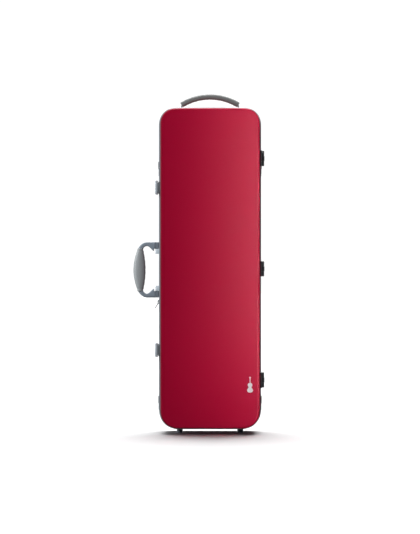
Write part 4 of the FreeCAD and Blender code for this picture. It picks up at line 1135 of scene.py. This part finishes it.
def build_neck_rest():
    """The padded saddle under the neck, a block with a round notch, and the strap that closes over it."""
    low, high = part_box("neck_rest")
    half = high.x / MM - 0.2
    front, back = low.y / MM, high.y / MM - 0.2
    outline = divided(rounded([(-half, back, 2), (half, back, 2), (half, front, 4), (18.5, front, 3.5),
                               (16, front + 22, 15.5), (-16, front + 22, 15.5), (-18.5, front, 3.5),
                               (-half, front, 4)], step=8), 4 * MM)
    rest = plate("neck_rest_pad", outline, low.z + 0.2 * MM, high.z - 0.2 * MM, 3.4 * MM, "XY", PLUSH,
                 "base",
                 ("neck_rest",))
    low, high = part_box("neck_strap")
    tape = plain(low.x + 0.2 * MM, high.x - 0.2 * MM, low.z, high.z, 1.5)
    grids = capped(slab(tape, low.y + 0.3 * MM, high.y - 0.1 * MM, 0.6 * MM, "XZ"))
    grids += capped(slab(plain(8 * MM, 33 * MM, low.z + 1.5 * MM, high.z - 1.5 * MM, 2.5), low.y - 0.5 * MM,
                         low.y + 0.6 * MM, 0.4 * MM, "XZ"))
    piece("neck_strap_tape", grids, TAPE, "base", ("neck_strap",))
    frame_line = divided(plain(10.4 * MM, 30.6 * MM, low.z + 3.8 * MM, high.z - 3.8 * MM, 1.5), 1.1 * MM)
    pairs = zip(frame_line[::3], frame_line[1::3])
    dashes = [tube(place(np.stack([a, (a + b) / 2, b]), low.y - 0.5 * MM, "XZ"), 0.22 * MM, sides=6)
              for a, b in pairs]
    piece("neck_strap_stitching", dashes, PIPING, "base")


# ---- The inside of the lid ----

def build_lid_inside():
    """The lid's plush lining with a piped edge, and the holders for two bows."""
    lining = tray("lid_lining_plush", 3.6, -20.4, -65.6, 6.9, 7.0, 1.2, LINING, "lid", "lid_lining")
    piping = place(ring(8.8), -20.6 * MM, "XZ")
    piece("lid_lining_piping", [tube(piping, 1.3 * MM, sides=10, closed=True)], PIPING, "lid")
    for side in ("left", "right"):
        node = f"bow_tip_sleeve_{side}"
        low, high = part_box(node)
        centre = np.array([(low.x + high.x) / 2, (low.y + high.y) / 2])
        size = np.array([high.x - low.x, high.y - low.y]) / 2 - 0.1 * MM
        angle = np.linspace(0, 2 * math.pi, 56, endpoint=False)
        unit = np.stack([np.cos(angle), np.sin(angle)], 1)
        box_shape = np.sign(unit) * np.abs(unit) ** (2 / 4.5) * size
        bore_shape = unit * 7 * MM
        rows = []
        for share, height in ((0.0, 0.0), (0.55, 0.0), (0.85, 0.4), (0.97, 2.2), (1.0, 6.0), (1.0, 30.0),
                              (0.985, 55.0),
                              (1.0, 70.0), (1.0, 75.5), (0.96, 78.4), (0.88, 79.7)):
            rows.append(place(centre + box_shape * share, low.z + height * MM, "XY"))
        for share, height in ((0.5, 79.9), (0.16, 78.9), (0.02, 76.5), (0.0, 60.0), (0.0, 8.0)):
            rows.append(place(centre + bore_shape * (1 - share) + box_shape * share, low.z + height * MM,
                              "XY"))
        rows.append(np.broadcast_to(np.array([*centre, low.z + 6 * MM]), rows[0].shape))
        sleeve = piece(node + "_pad", [(np.stack(rows), False, True)], LINING, "lid", (node,))
        softened(f"bow_clip_{side}", CLIP, 1.0 * MM)
        softened(f"bow_spinner_{side}", CLIP, 0.7 * MM)


# ---- Floor, light and camera ----

KEY_POWER, KEY_SPREAD = 2.9, 26.0
KEY_PLACE, KEY_AIM = (0.85, -1.15, 0.62), (0.22, 0.0, 0.58)
STRIP_POWER, STRIP_SPREAD = 0.07, 9.0
STRIP_PLACE, STRIP_AIM = (0.30, -3.2, 0.95), (0.17, 0.0, 0.85)
SIDE_POWER = 23.0
SIDE_PLACE, SIDE_AIM = (-1.6, -0.35, 0.75), (0.0, 0.0, 0.42)
FILL_POWER = 205.0
FILL_PLACE, FILL_AIM = (-1.0, -4.5, 3.0), (0.0, 0.0, 0.3)
SUN_POWER, SUN_SPREAD, SUN_LEAN = 4.3, 46.0, 25.0
LAMP_POWER, LAMP_SPREAD, LAMP_LEAN = 4.3, 44.0, 22.0
FLOOR_REACH = 30.0
BACKDROP = 1.05
DIFFUSE_SHARE = 0.3
BELOW_HORIZON = 0.35
SURROUND_LEFT = (0.86, 0.92, 0.97, 1)
SURROUND_RIGHT = (0.14, 0.145, 0.15, 1)
SURROUND_FRONT = (0.01, 0.01, 0.01, 1)
CAMERA_PLACE = (0.0, -5.65, 0.408)
CAMERA_LENS = 154.6


def build_floor():
    """A wide pale floor with a fine eggshell surface."""
    corners = [(x * FLOOR_REACH, y * FLOOR_REACH, 0) for x, y in ((-1, -1), (1, -1), (1, 1), (-1, 1))]
    mesh = bpy.data.meshes.new("studio_floor")
    mesh.from_pydata(corners, [], [(0, 1, 2, 3)])
    paint = (0.9, 0.9, 0.9, 1)
    mesh.materials.append(moulded("studio_floor_paint", paint, paint, 0.9, 40.0, 0.0, 0.0, 0.02, 0.0001))
    floor = bpy.data.objects.new("studio_floor", mesh)
    bpy.context.scene.collection.objects.link(floor)
    floor.visible_glossy = floor.visible_diffuse = False
    return floor


def area_light(name, place_at, aim, width, height, power, receivers, spread=180.0, glossy=True):
    """A rectangular lamp that lights the chosen objects, within a honeycomb's spread in degrees."""
    data = bpy.data.lights.new(name, "AREA")
    data.shape = "RECTANGLE"
    data.size, data.size_y, data.energy = width, height, power
    data.spread = math.radians(spread)
    light = bpy.data.objects.new(name, data)
    light.location = place_at
    light.rotation_euler = (Vector(aim) - Vector(place_at)).to_track_quat("-Z", "Y").to_euler()
    light.visible_camera = False
    light.visible_glossy = glossy
    light.light_linking.receiver_collection = receivers
    bpy.context.scene.collection.objects.link(light)


def lit_set(name, chosen, state):
    """A light-linking collection that includes or leaves out the objects chosen."""
    collection = bpy.data.collections.new(name)
    for item in chosen:
        collection.objects.link(item)
    for entry in collection.collection_objects:
        entry.light_linking.link_state = state
    return collection


def overhead(name, power, spread, lean, receivers):
    """A broad lamp overhead, which leans to the back by a number of degrees."""
    data = bpy.data.lights.new(name, "SUN")
    data.energy, data.angle = power, math.radians(spread)
    lamp = bpy.data.objects.new(name, data)
    lamp.rotation_euler = (math.radians(-lean), 0, 0)
    lamp.light_linking.receiver_collection = receivers
    bpy.context.scene.collection.objects.link(lamp)


def build_studio():
    """A white room: a tall soft box with a honeycomb on the hinge side, a narrow strip in front that puts
    the sheen on the lid, a high fill, a side light on the fittings, and a broad lamp overhead, set once
    for the case and once for the floor, so that the shadow falls forward. The surround is pale on the
    latch side, dark on the hinge side and in front, and dimmer below the horizon and for diffuse rays."""
    floor = build_floor()
    everything = [item for item in bpy.data.objects if item.type == "MESH" and item.users_collection]
    shells = [item for item in everything if item.name.startswith(("lid_shell", "base_shell"))]
    lid = [item for item in shells if item.name.startswith("lid_shell")]
    fittings = [item for item in everything if item.name.startswith(("side_handle", "latch_", "tail_feet"))]
    but_floor = lit_set("all_but_the_floor", [floor], "EXCLUDE")
    area_light("tall_soft_box", KEY_PLACE, KEY_AIM, 0.35, 1.2, KEY_POWER,
               lit_set("shells_only", shells, "INCLUDE"), KEY_SPREAD, glossy=False)
    area_light("front_strip", STRIP_PLACE, STRIP_AIM, 0.12, 1.3, STRIP_POWER,
               lit_set("lid_only", lid, "INCLUDE"), STRIP_SPREAD)
    area_light("side_light", SIDE_PLACE, SIDE_AIM, 0.5, 1.2, SIDE_POWER,
               lit_set("fittings_only", fittings, "INCLUDE"))
    area_light("high_fill", FILL_PLACE, FILL_AIM, 1.4, 1.2, FILL_POWER, but_floor, glossy=False)
    overhead("overhead", SUN_POWER, SUN_SPREAD, SUN_LEAN, but_floor)
    overhead("floor_lamp", LAMP_POWER, LAMP_SPREAD, LAMP_LEAN, lit_set("floor_only", [floor], "INCLUDE"))

    world = bpy.data.worlds.new("studio_surround")
    world.use_nodes = True
    tree = world.node_tree
    tree.nodes.clear()
    direction = add(tree, "ShaderNodeTexCoord").outputs["Generated"]
    axes = add(tree, "ShaderNodeSeparateXYZ", {0: direction}).outputs
    toward_hinges = ramp(tree, axes["X"], -0.6, 0.6)
    tone = mix_colour(tree, toward_hinges, SURROUND_LEFT, SURROUND_RIGHT)
    toward_viewer = ramp(tree, times(tree, axes["Y"], -1.0), 0.15, 0.75)
    tone = mix_colour(tree, toward_viewer, tone, SURROUND_FRONT)
    seen = add(tree, "ShaderNodeBackground", {"Color": (1, 1, 1, 1), "Strength": BACKDROP})
    rays = add(tree, "ShaderNodeLightPath").outputs
    strength = math_node(tree, "SUBTRACT", 1.0, times(tree, rays["Is Diffuse Ray"], 1 - DIFFUSE_SHARE))
    upward = times(tree, ramp(tree, axes["Z"], -0.25, 0.05), 1.0 - BELOW_HORIZON)
    strength = times(tree, strength, plus(tree, upward, BELOW_HORIZON))
    lit = add(tree, "ShaderNodeBackground", {"Color": tone, "Strength": strength})
    camera_ray = rays["Is Camera Ray"]
    both = add(tree, "ShaderNodeMixShader", {0: camera_ray, 1: lit.outputs[0], 2: seen.outputs[0]})
    add(tree, "ShaderNodeOutputWorld", {"Surface": both.outputs[0]})
    bpy.context.scene.world = world
    bpy.context.scene.view_settings.view_transform = "Standard"


def build_camera():
    """Level with the middle of the case, far off, with a long lens."""
    data = bpy.data.cameras.new("camera")
    data.lens, data.sensor_width = CAMERA_LENS, 36.0
    camera = bpy.data.objects.new("camera", data)
    camera.location = CAMERA_PLACE
    camera.rotation_euler = (math.radians(90), 0, 0)
    bpy.context.scene.collection.objects.link(camera)
    bpy.context.scene.camera = camera


build_camera()
build_shells()
build_rims()
build_emblem()
build_hinges()
build_latches()
build_side_handle()
build_top_handle()
build_feet()
build_key_ring()
build_strap_points()
build_violin_bed()
build_compartments()
build_flap()
build_neck_rest()
build_lid_inside()
build_studio()
